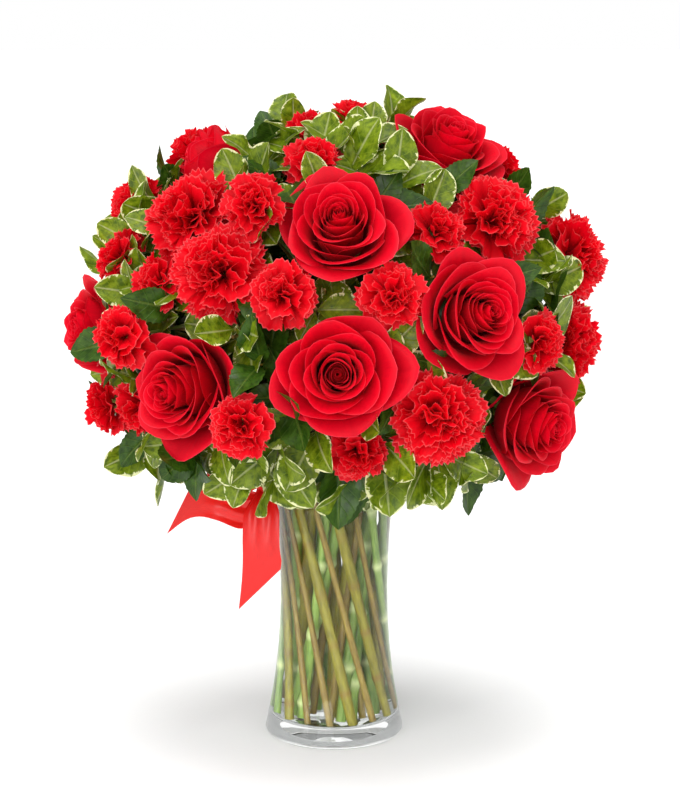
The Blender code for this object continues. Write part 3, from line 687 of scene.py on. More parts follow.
class Sheets:
    """Curved sheets and tubes gathered into one mesh, each with its own place from (0, 0) to (1, 1)."""

    def __init__(self):
        self.points, self.faces, self.places, self.sheet_of, self.finishes = [], [], [], [], []
        self.tone, self.mark = [], []
        self.count = 0

    def add(self, grid, tone=0.5, closed=False, finish=0, mark=0.0):
        """A grid of points, by row and column. A closed one is a tube, whose rows run round it."""
        rows, columns = grid.shape[:2]
        start = len(self.points)
        across = columns if closed else columns - 1
        self.points += grid.reshape(-1, 3).tolist()
        self.tone += [tone] * (rows * columns)
        self.mark += np.broadcast_to(mark, (rows, columns)).ravel().tolist()
        for row in range(rows - 1):
            for column in range(across):
                corners = ((row, column), (row, column + 1), (row + 1, column + 1), (row + 1, column))
                self.faces.append([start + r * columns + c % columns for r, c in corners])
                self.places.append([(c / across, r / (rows - 1)) for r, c in corners])
        made = (rows - 1) * across
        self.sheet_of += [self.count] * made
        self.finishes += [finish] * made
        self.count += 1

    def cap(self, ring, centre, tone=0.5, finish=0, mark=1.0):
        """A fan of faces that closes a ring of points."""
        start, sides = len(self.points), len(ring)
        self.points += ring.tolist() + [centre.tolist()]
        self.tone += [tone] * (sides + 1)
        self.mark += [mark] * (sides + 1)
        for place in range(sides):
            after = (place + 1) % sides
            turns = [2 * math.pi * step / sides for step in (place, after)]
            self.faces.append([start + after, start + place, start + sides])
            rim = [(0.5 + 0.5 * math.cos(turn), 0.5 + 0.5 * math.sin(turn)) for turn in reversed(turns)]
            self.places.append([*rim, (0.5, 0.5)])
        self.sheet_of += [self.count] * sides
        self.finishes += [finish] * sides
        self.count += 1

    def piece(self, name, materials, slot, *nodes):
        """The mesh as a piece that stands for those nodes of the frame."""
        mesh = bpy.data.meshes.new(name)
        mesh.from_pydata(self.points, [], self.faces)
        mesh.polygons.foreach_set("material_index", self.finishes)
        mesh.shade_smooth()
        side = math.ceil(math.sqrt(self.count))
        blade, bake = [], []
        for number, corners in zip(self.sheet_of, self.places):
            column, row = number % side, number // side
            for across, along in corners:
                blade += [across, along]
                for cell, share in ((column, across), (row, along)):
                    bake.append((cell + CELL_EDGE + CELL_SPAN * share) / side)
        mesh.uv_layers.new(name="OFBake").uv.foreach_set("vector", bake)
        mesh.uv_layers.new(name="blade").uv.foreach_set("vector", blade)
        for label, values in (("tone", self.tone), ("mark", self.mark)):
            mesh.attributes.new(label, "FLOAT", "POINT").data.foreach_set("value", values)
        made = bpy.data.objects.new(name, mesh)
        bpy.context.scene.collection.objects.link(made)
        for finish in materials:
            mesh.materials.append(finish)
        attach(made, "root")
        if nodes:
            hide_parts(*nodes)
        return made


def along_curve(points, share):
    """Points at those shares of the length of a line of points."""
    reached = reached_at(points)
    return at_distance(points, reached / reached[-1], share)


def bezier(controls, count=28):
    """Points of the cubic curve with those four controls."""
    t = np.linspace(0, 1, count)[:, None]
    a, b, c, d = np.array(controls)
    return (1 - t) ** 3 * a + 3 * (1 - t) ** 2 * t * b + 3 * (1 - t) * t**2 * c + t**3 * d


def rounded(points, spacing):
    """A smooth line through points, resampled at a spacing."""
    ways = np.gradient(points, axis=0)
    found = [points[:1]]
    for first, second, leave, arrive in zip(points[:-1], points[1:], ways[:-1], ways[1:]):
        count = max(1, round(np.linalg.norm(second - first) / spacing))
        t = np.linspace(0, 1, count + 1)[1:, None]
        found.append(hermite(t, first, leave, second, arrive))
    return np.concatenate(found)


def tube_grid(points, radii, sides):
    """A tube round a line of points. radii has one radius for each point."""
    rings = []
    turns = np.linspace(0, 2 * math.pi, sides, endpoint=False)[:, None]
    for point, (_, across, up), radius in zip(points, frames_along(points), radii):
        rings.append(point + radius * (np.cos(turns) * across + np.sin(turns) * up))
    return np.array(rings)


def turned_to(axis, spin):
    """The matrix that turns +Z to an axis, after a spin about +Z."""
    turn = np.array(Vector((0, 0, 1)).rotation_difference(Vector(axis)).to_matrix())
    return turn @ spin_matrix(spin)


def spin_matrix(turn):
    c, s = math.cos(turn), math.sin(turn)
    return np.array(((c, -s, 0), (s, c, 0), (0, 0, 1)))


def swept(radius, height, turn):
    """Points by their distance from Z, their height and their turn about Z."""
    radius, height, turn = np.broadcast_arrays(radius, height, turn)
    return np.stack([radius * np.cos(turn), radius * np.sin(turn), height], axis=-1)


def any_turn(draw):
    """A turn drawn from the whole circle."""
    return draw.uniform(0, 6.3)


# ---------------------------------------------------------------- roses

GOLDEN_TURN = math.radians(137.5)
ROSE_PETALS = 38
PETAL_ROWS = 14
PETAL_COLUMNS = 17
PETAL_CROWDING = 1.2
# Radius and height where every petal starts, and of the rims in the heart, and the lean of those rims.
PETAL_FOOT = (0.0030, 0.0070)
HEART_RADIUS = 0.0016
HEART_HEIGHT = 0.0490
HEART_LEAN = -14
RIM_SPAN = 0.017
# How far the outer petals lie back, for the roses that are not fully open.
ROSE_OPENNESS = {"rose_top_left": 0.42, "rose_left": 0.75}


def petal_meridian(share, openness, draw):
    """The line up the middle of a rose petal, as (radius, height) from its foot to its rim."""
    radius = (HEART_RADIUS + 0.0150 * share + 0.0280 * share**2 * openness) * draw.uniform(0.95, 1.05)
    height = HEART_HEIGHT + 0.0040 * math.sin(3 * share) - 0.0185 * share**2.4 * openness
    height += draw.normal(0, 0.0007)
    lean = math.radians(HEART_LEAN + 84 * share**1.1 * openness + draw.normal(0, 9) * share)
    belly = (0.0082 + 0.0230 * share, 0.0085)
    under_rim = (radius - RIM_SPAN * math.sin(lean), height - RIM_SPAN * math.cos(lean))
    return bezier((PETAL_FOOT, belly, under_rim, (radius, height)))


def rolled_back(meridian, edge, up, roll_length, rolled):
    """(radius, height) over a petal that follows its middle line, and then rolls outwards at the rim."""
    length = length_of(meridian)
    start = edge - roll_length
    reach = edge * up
    held = np.minimum(reach, start)
    flat = along_curve(meridian, np.minimum(held / length, 1))
    way = along_curve(units(np.gradient(meridian, axis=0)), np.minimum(held / length, 1))
    bend = np.maximum(0, reach - start) / roll_length * rolled
    bow = roll_length / rolled
    ahead = np.maximum(0, held - length) + bow * np.sin(bend)
    out = np.stack([way[..., 1], -way[..., 0]], axis=-1)
    flat = flat + ahead[..., None] * way + (bow * (1 - np.cos(bend)))[..., None] * out
    return flat[..., 0], flat[..., 1]


def rose_petal(share, openness, draw):
    """One petal about the flower's own Z, facing +X, from the heart (share 0) to the outside (share 1)."""
    meridian = petal_meridian(share, openness, draw)
    across = np.linspace(-1, 1, PETAL_COLUMNS)[None]
    up = 1 - (1 - np.linspace(0, 1, PETAL_ROWS)[:, None]) ** 1.5
    from_side = np.abs(across)
    from_point = np.abs(across - draw.normal(0, 0.20))
    edge = length_of(meridian) * (1.09 - 0.24 * from_side**3.4 - 0.30 * share * np.minimum(1, from_point))
    roll_length = (0.0007 + 0.0034 * share) * (0.6 + 0.7 * from_side) * draw.uniform(0.7, 1.3)
    rolled = np.radians(14 + 26 * share + 44 * share * from_side) * draw.uniform(0.6, 1.3)
    radius, height = rolled_back(meridian, edge, up, roll_length, rolled)
    tuck = 0.04 + 0.20 * (1 - share) ** 2
    wave = 0.0024 * share * up**2
    radius = radius * (1 + tuck * across) + wave * np.sin(4.6 * across + any_turn(draw))
    height = height + wave * np.sin(3.6 * across + any_turn(draw))
    half = math.radians(124 - 58 * share**0.8)
    return swept(radius, height, half * across * (0.80 + 0.20 * up))


def make_rose(bloom, finish, seed):
    draw = np.random.default_rng(seed)
    sheets = Sheets()
    turn = turned_to(bloom.axis, any_turn(draw))
    openness = ROSE_OPENNESS.get(bloom.name, 1.0)
    for number in range(ROSE_PETALS):
        share = (number / (ROSE_PETALS - 1)) ** PETAL_CROWDING
        petal = rose_petal(share, openness, draw)
        angle = number * GOLDEN_TURN + draw.normal(0, 0.20)
        petal = petal @ spin_matrix(angle).T
        sheets.add(petal @ turn.T + bloom.foot, draw.uniform(0, 1), mark=share)
    sheets.piece(bloom.name + "_petals", [finish], "rose_red", bloom.name)


# ---------------------------------------------------------------- carnations


class Ruffles:
    """How a kind of carnation is built: its petals, their ruffles, and the dome that their rims make."""

    def __init__(self, petals, throat, centre, dome_radius, dome_height, ruffle, columns, fan):
        self.petals, self.throat, self.centre = petals, throat, centre
        self.dome_radius, self.dome_height = dome_radius, dome_height
        self.ruffle, self.columns, self.fan = ruffle, columns, math.radians(fan)


CARNATION = Ruffles(50, (0.0030, 0.0235), 0.0285, 0.0335, 0.0255, 0.0034, 23, 44)
MINI = Ruffles(30, (0.0018, 0.0145), 0.0185, 0.0228, 0.0172, 0.0026, 19, 50)
RUFFLE_ROWS = 8


def ruffled_petal(kind, share, draw):
    """A fan-shaped petal with a toothed, ruffled rim. It leans to +X, upright at share 0 and level at 1."""
    rise_of = math.radians(112 - 122 * share**0.72)
    reach = draw.uniform(0.80, 1.05)
    up_to = kind.centre + kind.dome_height * math.sin(rise_of)
    tip = np.array((kind.dome_radius * math.cos(rise_of), up_to))
    throat = np.array(kind.throat)
    tip = throat + (tip - throat) * reach
    away = tip - throat
    length = np.linalg.norm(away)
    away = away / length
    lift = np.array((-away[1], away[0]))

    across = np.linspace(-1, 1, kind.columns)[None]
    up = np.linspace(0, 1, RUFFLE_ROWS)[:, None]
    teeth = np.where(np.arange(kind.columns) % 2, -1.0, 0.0) * draw.uniform(0.04, 0.10, kind.columns)
    lobes = 0.06 * np.cos(2.6 * across + any_turn(draw)) + 0.03 * np.cos(7.1 * across + any_turn(draw))
    edge = 1 + lobes + teeth[None] * rise(0.75, 1.0, up)
    fan = kind.fan * draw.uniform(0.75, 1.15) * (0.72 + 0.28 * share)
    angle = fan * across * (0.30 + 0.70 * rise(0.0, 0.6, up))
    reached = length * up * edge
    ahead = reached * np.cos(angle)
    aside = reached * np.sin(angle)
    depth = kind.ruffle * (1.15 - 0.45 * share) * up**1.6
    folds = draw.uniform(4.0, 7.0)
    bow = np.sin(folds * across + any_turn(draw)) + 0.45 * np.sin(2.3 * folds * across + any_turn(draw))
    bulge = length * (0.24 * up * (1 - up) - 0.12 * share * up**3)
    raised = depth * bow + bulge
    twist = math.radians(draw.normal(0, 52) * (1 - share) ** 0.7 + draw.normal(0, 9))
    aside, raised = rotated(aside, raised, twist)
    place = throat + ahead[..., None] * away + raised[..., None] * lift
    return np.stack([place[..., 0], aside, place[..., 1]], axis=-1)


def add_carnation(sheets, bloom, kind, draw):
    turn = turned_to(bloom.axis, any_turn(draw))
    throat = (0, 0, kind.throat[1])
    for number in range(kind.petals):
        share = (number + 0.5) / kind.petals
        petal = ruffled_petal(kind, share, draw)
        angle = number * GOLDEN_TURN + draw.normal(0, 0.30)
        lean = turned_to(unit(np.array((draw.normal(0, 0.16), draw.normal(0, 0.16), 1.0))), 0)
        petal = (petal - throat) @ lean.T + throat
        petal = petal @ spin_matrix(angle).T
        sheets.add(petal @ turn.T + bloom.foot, draw.uniform(0, 1), mark=share)


def add_calyx(sheets, bloom, draw, finish):
    """The green tube with five teeth that a carnation's petals come out of."""
    kind = CARNATION if bloom.kind == "carnation" else MINI
    mouth, top = bloom.calyx * 0.80, kind.throat[1] + 0.0035
    turn = turned_to(bloom.axis, any_turn(draw))
    around = np.linspace(0, 2 * math.pi, 30, endpoint=False)[None]
    rows = np.array((0.0, 0.04, 0.12, 0.3, 0.5, 0.7, 0.82, 0.92, 1.0))[:, None]
    radius = bloom.stem_radius + (mouth - bloom.stem_radius) * rise(-0.05, 0.45, rows) ** 0.7
    radius = radius * (1 + 0.12 * rise(0.75, 1.0, rows))
    teeth = (0.5 + 0.5 * np.cos(5 * around)) * rise(0.72, 1.0, rows) * top * 0.24
    grid = swept(radius, top * 0.80 * rows + teeth, around)
    sheets.add(grid @ turn.T + bloom.foot, draw.uniform(0, 1), closed=True, finish=finish, mark=0.15)


HIP_RADIUS = 0.0088
HIP_HEIGHT = 0.0125
SEPALS = 5
SEPAL_HALF_WIDTH = 0.0042
SEPAL_REACH = 0.027


def add_hip(sheets, bloom, draw, finish):
    """The green hip under a rose, and five narrow sepals that lie back from it."""
    turn = turned_to(bloom.axis, any_turn(draw))
    around = np.linspace(0, 2 * math.pi, 20, endpoint=False)[None]
    rows = np.linspace(0, 1, 9)[:, None]
    radius = bloom.stem_radius + (HIP_RADIUS - bloom.stem_radius) * np.sin(rows * math.pi * 0.62) ** 1.3
    grid = swept(radius, HIP_HEIGHT * rows, around)
    sheets.add(grid @ turn.T + bloom.foot, 0.5, closed=True, finish=finish)
    for step in range(SEPALS):
        angle = step * 2 * math.pi / SEPALS + draw.normal(0, 0.1)
        grid = sepal(draw) @ spin_matrix(angle).T
        sheets.add(grid @ turn.T + bloom.foot, draw.uniform(0, 1), finish=finish)


def sepal(draw):
    length = draw.uniform(0.024, 0.030)
    bend = math.radians(draw.uniform(55, 120))
    along = np.linspace(0, 1, 10)[:, None]
    across = np.linspace(-1, 1, 5)[None]
    low = (0.0260, 0.0120 - 0.010 * math.sin(bend))
    line = bezier(((0.0080, 0.0100), (0.0180, 0.0120), low, (0.0290, 0.002)), 10)
    half = SEPAL_HALF_WIDTH * (1 - along) ** 0.7 * (0.5 + 0.5 * rise(0, 0.2, along))
    radial = line[:, :1] * length / SEPAL_REACH + 0 * across
    return np.stack([radial, half * across, line[:, 1:] + 0.0012 * across**2], axis=-1)


# ---------------------------------------------------------------- stems

STEM_SIDES = 12
STEM_SPACING = 0.004
INNER_RING = 0.030
# By whether a stem is jointed: how much thicker it is in the vase, and how its nodes swell and how far.
STEM_SWELL = {True: 1.50, False: 1.25}
NODE_SPACING = 0.047
SCAR_SPACING = 0.036
NODE_SHAPE = {True: (0.42, 0.0034), False: (0.16, 0.0020)}


def stem_points(route):
    """A smooth line from the cut end on the floor of the vase to the flower, or from the fork for a branch.

    The stems of the inner rings lean the opposite way to those of the outer one, and cross them.
    """
    if route.parent:
        return rounded(route.points, STEM_SPACING)
    foot, neck = stem_line(route)
    if np.hypot(*neck[:2]) < INNER_RING:
        bearing = math.atan2(neck[1], neck[0])
        turn = (2 + 0.35 * math.sin(5 * bearing)) * (bearing - math.atan2(foot[1], foot[0]))
        foot = np.array((*rotated(foot[0], foot[1], turn), foot[2]))
    straight = along_curve(np.array((foot, neck)), np.linspace(0, 1, 52))[:-1]
    return np.concatenate([straight, rounded(route.points, STEM_SPACING)])


def add_stem(sheets, route, draw, jointed, finish=0, slim=1.0):
    """A stem or branch. A jointed one has swollen nodes; the others have low leaf scars."""
    points = stem_points(route)
    reached = reached_at(points)
    taper = np.linspace(1.0, slim, len(points))
    in_vase = 1 - rise(VASE_HEIGHT - 0.02, VASE_HEIGHT + 0.06, points[:, 2])
    taper = taper * (1 + (STEM_SWELL[jointed] - 1) * in_vase)
    radii = route.radius * taper * (1 + 0.05 * np.sin(reached * 90 + any_turn(draw)))
    spacing = NODE_SPACING * draw.uniform(0.85, 1.2) if jointed else SCAR_SPACING
    swell, reach = NODE_SHAPE[jointed]
    offset = draw.uniform(0.2, 0.9) * spacing
    from_node = np.abs((reached - offset + spacing / 2) % spacing - spacing / 2)
    node = np.exp(-((from_node / reach) ** 2))
    radii = radii * (1 + swell * node)
    grid = tube_grid(points, radii, STEM_SIDES)
    tone = draw.uniform(0, 1)
    sheets.add(grid, tone, closed=True, finish=finish, mark=node[:, None])
    if not route.parent:
        sheets.cap(grid[0], points[0], tone, finish)
    sheets.cap(grid[-1][::-1], points[-1], tone, finish)


# ---------------------------------------------------------------- leaves

LEAF_ROWS = 22
LEAF_COLUMNS = 9
LEAF_STALK = 0.07
# By whether a leaf is serrated: how far its widest place is towards the tip, and how full its outline is.
LEAF_OUTLINE = {True: (0.85, 0.80), False: (1.12, 0.62)}


def leaf_grid(leaf, draw, serrated):
    """A leaf blade folded a little along its midrib, with a bowed tip and wavy margins."""
    along = np.linspace(0, 1, LEAF_ROWS)[:, None]
    across = np.linspace(-1, 1, LEAF_COLUMNS)[None]
    blade = np.clip((along - LEAF_STALK) / (1 - LEAF_STALK), 0, 1)
    towards_tip, fullness = LEAF_OUTLINE[serrated]
    half = np.sin(math.pi * blade**towards_tip) ** fullness
    half = np.maximum(half, 0.055 * (1 - rise(0.95, 1.0, along)))
    if serrated:
        notch = np.where(np.arange(LEAF_ROWS)[:, None] % 2, 0.0, 0.075)
        half = half * (1 - notch * (np.abs(across) > 0.9))
    bow = math.radians(draw.uniform(10, 38)) * (1 if draw.uniform() < 0.8 else -0.6)
    bent = bow * along**1.4
    step = leaf.length / (LEAF_ROWS - 1)
    ahead = np.cumsum(np.cos(bent)) * step - step
    drop = -np.cumsum(np.sin(bent)) * step
    fold = math.radians(draw.uniform(6, 26))
    width = leaf.width / 2 * half * across
    wave = 0.0016 * np.sin(along * draw.uniform(9, 13) + any_turn(draw)) * np.abs(across) ** 1.5 * half
    raised = np.abs(width) * math.tan(fold) + wave + drop[:, None]
    aside = width * math.cos(fold)
    return (
        leaf.root
        + ahead[:, None, None] * leaf.way
        + aside[..., None] * leaf.side
        + raised[..., None] * leaf.face
    )


def make_leaves(name, leaves, finish, draw, serrated, *nodes):
    sheets = Sheets()
    for leaf in leaves:
        sheets.add(leaf_grid(leaf, draw, serrated), draw.uniform(0, 1))
    sheets.piece(name, [finish], "variegated_leaf", *nodes)


FILLER_DIRECTIONS = 260
FILLER_DEPTH = 0.014
FILLER_SPACING = 0.025
FILLER_BLOOM_CLEAR = 0.004
FILLER_LOWEST = -38
FORK_HIGH_ABOVE = 0.24
FILLER_TWIG = 0.6
# Turn round the twig, opening angle from it, distance back from its tip, and size, for a tuft's leaves.
TUFT = (
    (0, 22, 0.000, 0.90),
    (70, 55, 0.002, 1.00),
    (142, 62, 0.003, 1.00),
    (214, 58, 0.004, 1.00),
    (288, 66, 0.005, 1.00),
    (30, 78, 0.012, 0.95),
    (150, 80, 0.014, 0.90),
    (262, 76, 0.016, 0.95),
)
# Leaves and tufts keep this far, in sizes of a loop, from the middle of the bow.
LEAF_OFF_BOW = 1.30
TUFT_OFF_BOW = 1.6
FRINGE_RADIUS = 0.054
FRINGE_HEIGHT = 0.204
FRINGE_BEARINGS = (-24, -4, 14, 33, 54, 80, 108, 136, 164, 192, 220)
# First and last distance of a rose's leaves from its flower, and the step between them.
ROSE_LEAF_BACKS = (0.016, 0.150, 0.0085)
ROSE_LEAF_LOWEST = VASE_HEIGHT + 0.012


def spread_ways(count):
    """Directions spread evenly over a sphere, as (bearing, elevation)."""
    for step in range(count):
        yield math.degrees(step * GOLDEN_TURN) % 360, math.degrees(math.asin(1 - 2 * (step + 0.5) / count))


def outside_blooms(points, blooms, margin):
    """Whether points are that far clear of the flower heads, and of the bow."""
    if np.linalg.norm(points - ribbon_middle(), axis=1).min() < LOOP_SIZE * LEAF_OFF_BOW:
        return False
    still = np.full(len(points), margin)
    return all(np.abs(push_from_bloom(points, still, bloom, 0.0)).max() < 1e-9 for bloom in blooms)


def filler_tips(blooms):
    """Places in the dome, between the flower heads, that a tuft of leaves can fill: (point, way)."""
    tips = []
    for bearing, elevation in spread_ways(FILLER_DIRECTIONS):
        if elevation < FILLER_LOWEST:
            continue
        way = aim(bearing, elevation)
        point = on_dome(bearing, elevation, -FILLER_DEPTH)
        if not outside_blooms(point[None], blooms, FILLER_BLOOM_CLEAR):
            continue
        if np.linalg.norm(point - ribbon_middle()) < LOOP_SIZE * TUFT_OFF_BOW:
            continue
        if all(np.linalg.norm(point - other) > FILLER_SPACING for other, _ in tips):
            tips.append((point, way))
    for bearing in FRINGE_BEARINGS:
        around = aim(bearing, 0)
        tips.append((around * FRINGE_RADIUS + (0, 0, FRINGE_HEIGHT), aim(bearing, FILLER_LOWEST)))
    return tips


def filler_routes(tips, mains):
    """A thin branch to each of those places from the nearest of these stems."""
    found = []
    for number, (tip, way) in enumerate(tips):
        high = tip[2] > FORK_HIGH_ABOVE
        fork_of = [max(2, int(len(main.points) * 0.35)) if high else 1 for main in mains]
        gaps = [np.linalg.norm(main.points[fork] - tip) for main, fork in zip(mains, fork_of)]
        best = int(np.argmin(gaps))
        main, fork = mains[best], fork_of[best]
        start = main.points[fork]
        leave = unit(unit(main.points[fork + 1] - start) + 0.8 * unit(tip - start))
        points = curve(start, leave, tip, way)
        name, radius = f"filler_{number}", TWIG_RADIUS * FILLER_TWIG
        found.append(Route(name, main.family, points, radius, parent=main, fork=fork))
    return found


def tuft_leaves(route, draw):
    """The leaves at the tip of a filler twig."""
    tip, ahead = route.points[-1], unit(route.points[-1] - route.points[-2])
    spin = draw.uniform(0, 360)
    found = []
    for turn, opening, back, size in TUFT:
        way, face = leaf_ways(ahead, turn + spin + draw.normal(0, 8), opening + draw.normal(0, 7))
        found.append(Leaf(tip - ahead * back, way, face, size * draw.uniform(0.95, 1.40)))
    return found


def grow_fillers(twigs, fillers, family, blooms, draw):
    """Adds a family's filler twigs to its sheets, and finds the leaves that they carry."""
    grown = []
    for route in fillers:
        if route.family == family:
            add_stem(twigs, route, draw, False, slim=0.7)
            tuft = tuft_leaves(route, draw)
            grown += [leaf for leaf in tuft if outside_blooms(leaf.samples(), blooms, -0.003)]
    return grown


def rose_leaves(route, blooms, draw):
    """Dark leaves up a rose's stem, where they miss the flower heads."""
    found = []
    for step, back in enumerate(np.arange(*ROSE_LEAF_BACKS)):
        place = (back, step * 137.5, draw.uniform(38, 72), draw.uniform(1.05, 1.45))
        leaf = leaf_at(route, place, (0, 0, 1.0))
        samples = leaf.samples()
        if samples[:, 2].min() > ROSE_LEAF_LOWEST and outside_blooms(samples, blooms, -0.002):
            found.append(leaf)
    return found


# ---------------------------------------------------------------- the vase and the water

GLASS_STEPS = 128
AXIS_RADIUS = 0.0004
FOOT_HOLLOW = 0.0012
CORNER_ROUND = 0.006
CORNER_HEIGHT = FLOOR_THICKNESS + CORNER_ROUND
# The floor inside the vase, dished a little: (radius, height) points inwards.
DISHED_FLOOR = [(0.022, FLOOR_THICKNESS - 0.0004), (AXIS_RADIUS, FLOOR_THICKNESS - 0.0006)]


def turned_sheet(profile):
    around = np.linspace(0, 2 * math.pi, GLASS_STEPS, endpoint=False)
    profile = np.array(profile)
    radius, height = profile[:, :1], profile[:, 1:]
    return np.stack([radius * np.sin(around), -radius * np.cos(around), height + 0 * around], axis=-1)


def arc(centre, radius, start, end, count):
    """(radius, height) points of an arc, by angles up from outwards, in degrees."""
    turns = np.radians(np.linspace(start, end, count))
    return [(centre[0] + radius * math.cos(a), centre[1] + radius * math.sin(a)) for a in turns]


def make_turned(name, profile, finish, slot, node):
    """A turned body from the (radius, height) points of its outline, which starts and ends at the axis."""
    sheets = Sheets()
    grid = turned_sheet(profile)
    sheets.add(grid, closed=True)
    sheets.cap(grid[0], grid[0].mean(axis=0))
    sheets.cap(grid[-1][::-1], grid[-1].mean(axis=0))
    sheets.piece(name, [finish], slot, node)


def make_vase(finish):
    rim_height = VASE_HEIGHT - WALL / 2
    outside = [(outer_radius(z), z) for z in np.linspace(FOOT_ROUND, rim_height, 70)]
    foot = [(AXIS_RADIUS, FOOT_HOLLOW), (0.020, FOOT_HOLLOW), (0.026, 0.0)]
    foot += arc((outside[0][0] - FOOT_ROUND, FOOT_ROUND), FOOT_ROUND, -90, -8, 8)
    rim = arc((RIM_RADIUS - WALL / 2, rim_height), WALL / 2, 20, 160, 7)
    inside = [(outer_radius(z) - WALL, z) for z in np.linspace(rim_height, CORNER_HEIGHT, 60)]
    corner = arc((inside[-1][0] - CORNER_ROUND, CORNER_HEIGHT), CORNER_ROUND, -8, -90, 8)
    outline = foot + outside + rim + inside + corner + DISHED_FLOOR
    make_turned("vase_glass", outline, finish, "glass", "glass_vase")


def make_water(finish):
    """Clear water up to under the ribbon. It reaches just into the glass, so that no air shows between."""
    sink = 0.0002
    side = [(outer_radius(z) - WALL + sink, z) for z in np.linspace(CORNER_HEIGHT, WATER_LEVEL, 50)]
    corner = arc((side[0][0] - CORNER_ROUND, CORNER_HEIGHT), CORNER_ROUND, -90, -8, 8)
    bottom = [(radius, height - sink) for radius, height in DISHED_FLOOR[::-1] + corner]
    top = [(side[-1][0] - 0.002, WATER_LEVEL - 0.0008), (AXIS_RADIUS, WATER_LEVEL - 0.0010)]
    make_turned("vase_water", bottom + side + top, finish, "water", "water")


# ---------------------------------------------------------------- the ribbon

RIBBON_COLUMNS = 27
ACROSS = np.linspace(-1, 1, RIBBON_COLUMNS)[None]
BAND_PLEATS = 0.0009
BAND_OFF_GLASS = 0.0012
TAIL_PLEATS = 0.0016
LOOP_ROOT_HALF = 0.0050
KNOT_SIZE = (0.0068, 0.0088)


def faces_of(middle, side):
    """The way that a strip faces, at each point of its middle."""
    return units(np.cross(np.gradient(np.array(middle), axis=0), np.array(side)))


def ribbon_grid(middle, side):
    """A flat strip along a line of points, with a crossways half-width vector at each."""
    return np.array(middle)[:, None] + ACROSS[..., None] * np.array(side)[:, None]


def lifted(grid, height, ways):
    """The strip with each point moved by a height, the way that its row faces."""
    return grid + height[..., None] * ways[:, None]


def make_ribbon_piece(name, grid, flat, held, rests_on, finish, *nodes):
    sheets = Sheets()
    sheets.add(grid)
    made = sheets.piece(name, [finish], "ribbon", *nodes)


def make_band(finish):
    """The ribbon drawn round the neck of the glass, gathered where it meets the knot."""
    turns = np.linspace(0.02, 2 * math.pi - 0.02, 120)
    middle, side = [], []
    for turn in turns:
        way = aim(KNOT_BEARING + math.degrees(turn), 0)
        from_knot = min(turn, 2 * math.pi - turn)
        gather = 0.42 + 0.58 * rise(0.0, 0.55, from_knot)
        height = BAND_MIDDLE + 0.0012 * math.sin(2 * turn)
        half = (BAND_HIGH - BAND_LOW) / 2 * gather
        radius = outer_radius(height) + BAND_OFF_GLASS + 0.002 * (1 - rise(0.0, 0.2, from_knot))
        middle.append(way * radius + (0, 0, height))
        slope = (outer_radius(height + half) - outer_radius(height - half)) / 2
        side.append(way * slope + (0, 0, half))
    pleat = BAND_PLEATS * (1 + np.sin(ACROSS * 11.0 + 0.5 * np.sin(turns * 3)[:, None]))
    grid = lifted(ribbon_grid(middle, side), pleat, units(np.array(middle) * (1, 1, 0)))
    flat = (RIBBON_WIDTH, length_of(middle))
    make_ribbon_piece("ribbon_round_neck", grid, flat, "gathered", ["vase_glass"], finish, "ribbon_band")


def loop_line(knot, way, hand, count=41):
    """The middle of one loop of the bow and its half-width vectors."""
    across = unit(np.cross(way, (0, 0, 1)))
    middle, side = [], []
    for turn in np.linspace(-0.96, 0.96, count) * math.pi:
        out = LOOP_SIZE * 0.5 * (1 + math.cos(turn))
        bulge = LOOP_BULGE * math.sin(turn) * hand
        droop = -0.004 * (out / LOOP_SIZE) ** 2
        middle.append(knot + way * (LOOP_ROOT + out) + across * bulge + (0, 0, droop))
        half = LOOP_ROOT_HALF + (RIBBON_WIDTH / 2 - LOOP_ROOT_HALF) * rise(0, 0.022, out)
        side.append((np.array((0, 0, 1)) + 0.25 * across * math.sin(turn)) * half)
    return middle, side


def make_loop(name, knot, way, hand, finish):
    middle, side = loop_line(knot, way, hand)
    share = np.linspace(-1, 1, len(middle))[:, None]
    pinch = rise(0.55, 1.0, np.abs(share))
    pleat = (0.0014 * pinch + 0.0003) * np.sin(ACROSS * 7.5 + share * 1.4)
    grid = lifted(ribbon_grid(middle, side), pleat, faces_of(middle, side))
    flat = (RIBBON_WIDTH, length_of(middle))
    make_ribbon_piece(name, grid, flat, "folded", ["ribbon_knot"], finish, "ribbon_bow")


def make_knot(finish):
    """A short length of ribbon drawn tight round the middle of the bow."""
    knot, up = knot_place(), np.array((0, 0, 1))
    out, aside = aim(KNOT_BEARING, 0), aim(KNOT_BEARING + 90, 0)
    deep, wide = KNOT_SIZE
    turns = np.linspace(0, 2 * math.pi, 49)
    middle = [knot + out * deep * math.cos(turn) + up * wide * math.sin(turn) for turn in turns]
    side = [aside * (0.0062 + 0.0010 * math.cos(2 * turn)) + up * 0.001 for turn in turns]
    pleat = 0.0009 * np.sin(ACROSS * 7.0 + np.sin(turns)[:, None]) - 0.0022 * ACROSS**2
    grid = lifted(ribbon_grid(middle, side), pleat, units(np.array(middle) - knot))
    flat = (RIBBON_WIDTH * 0.55, length_of(middle))
    make_ribbon_piece("ribbon_knot", grid, flat, "folded", ["ribbon_round_neck"], finish, "ribbon_bow")


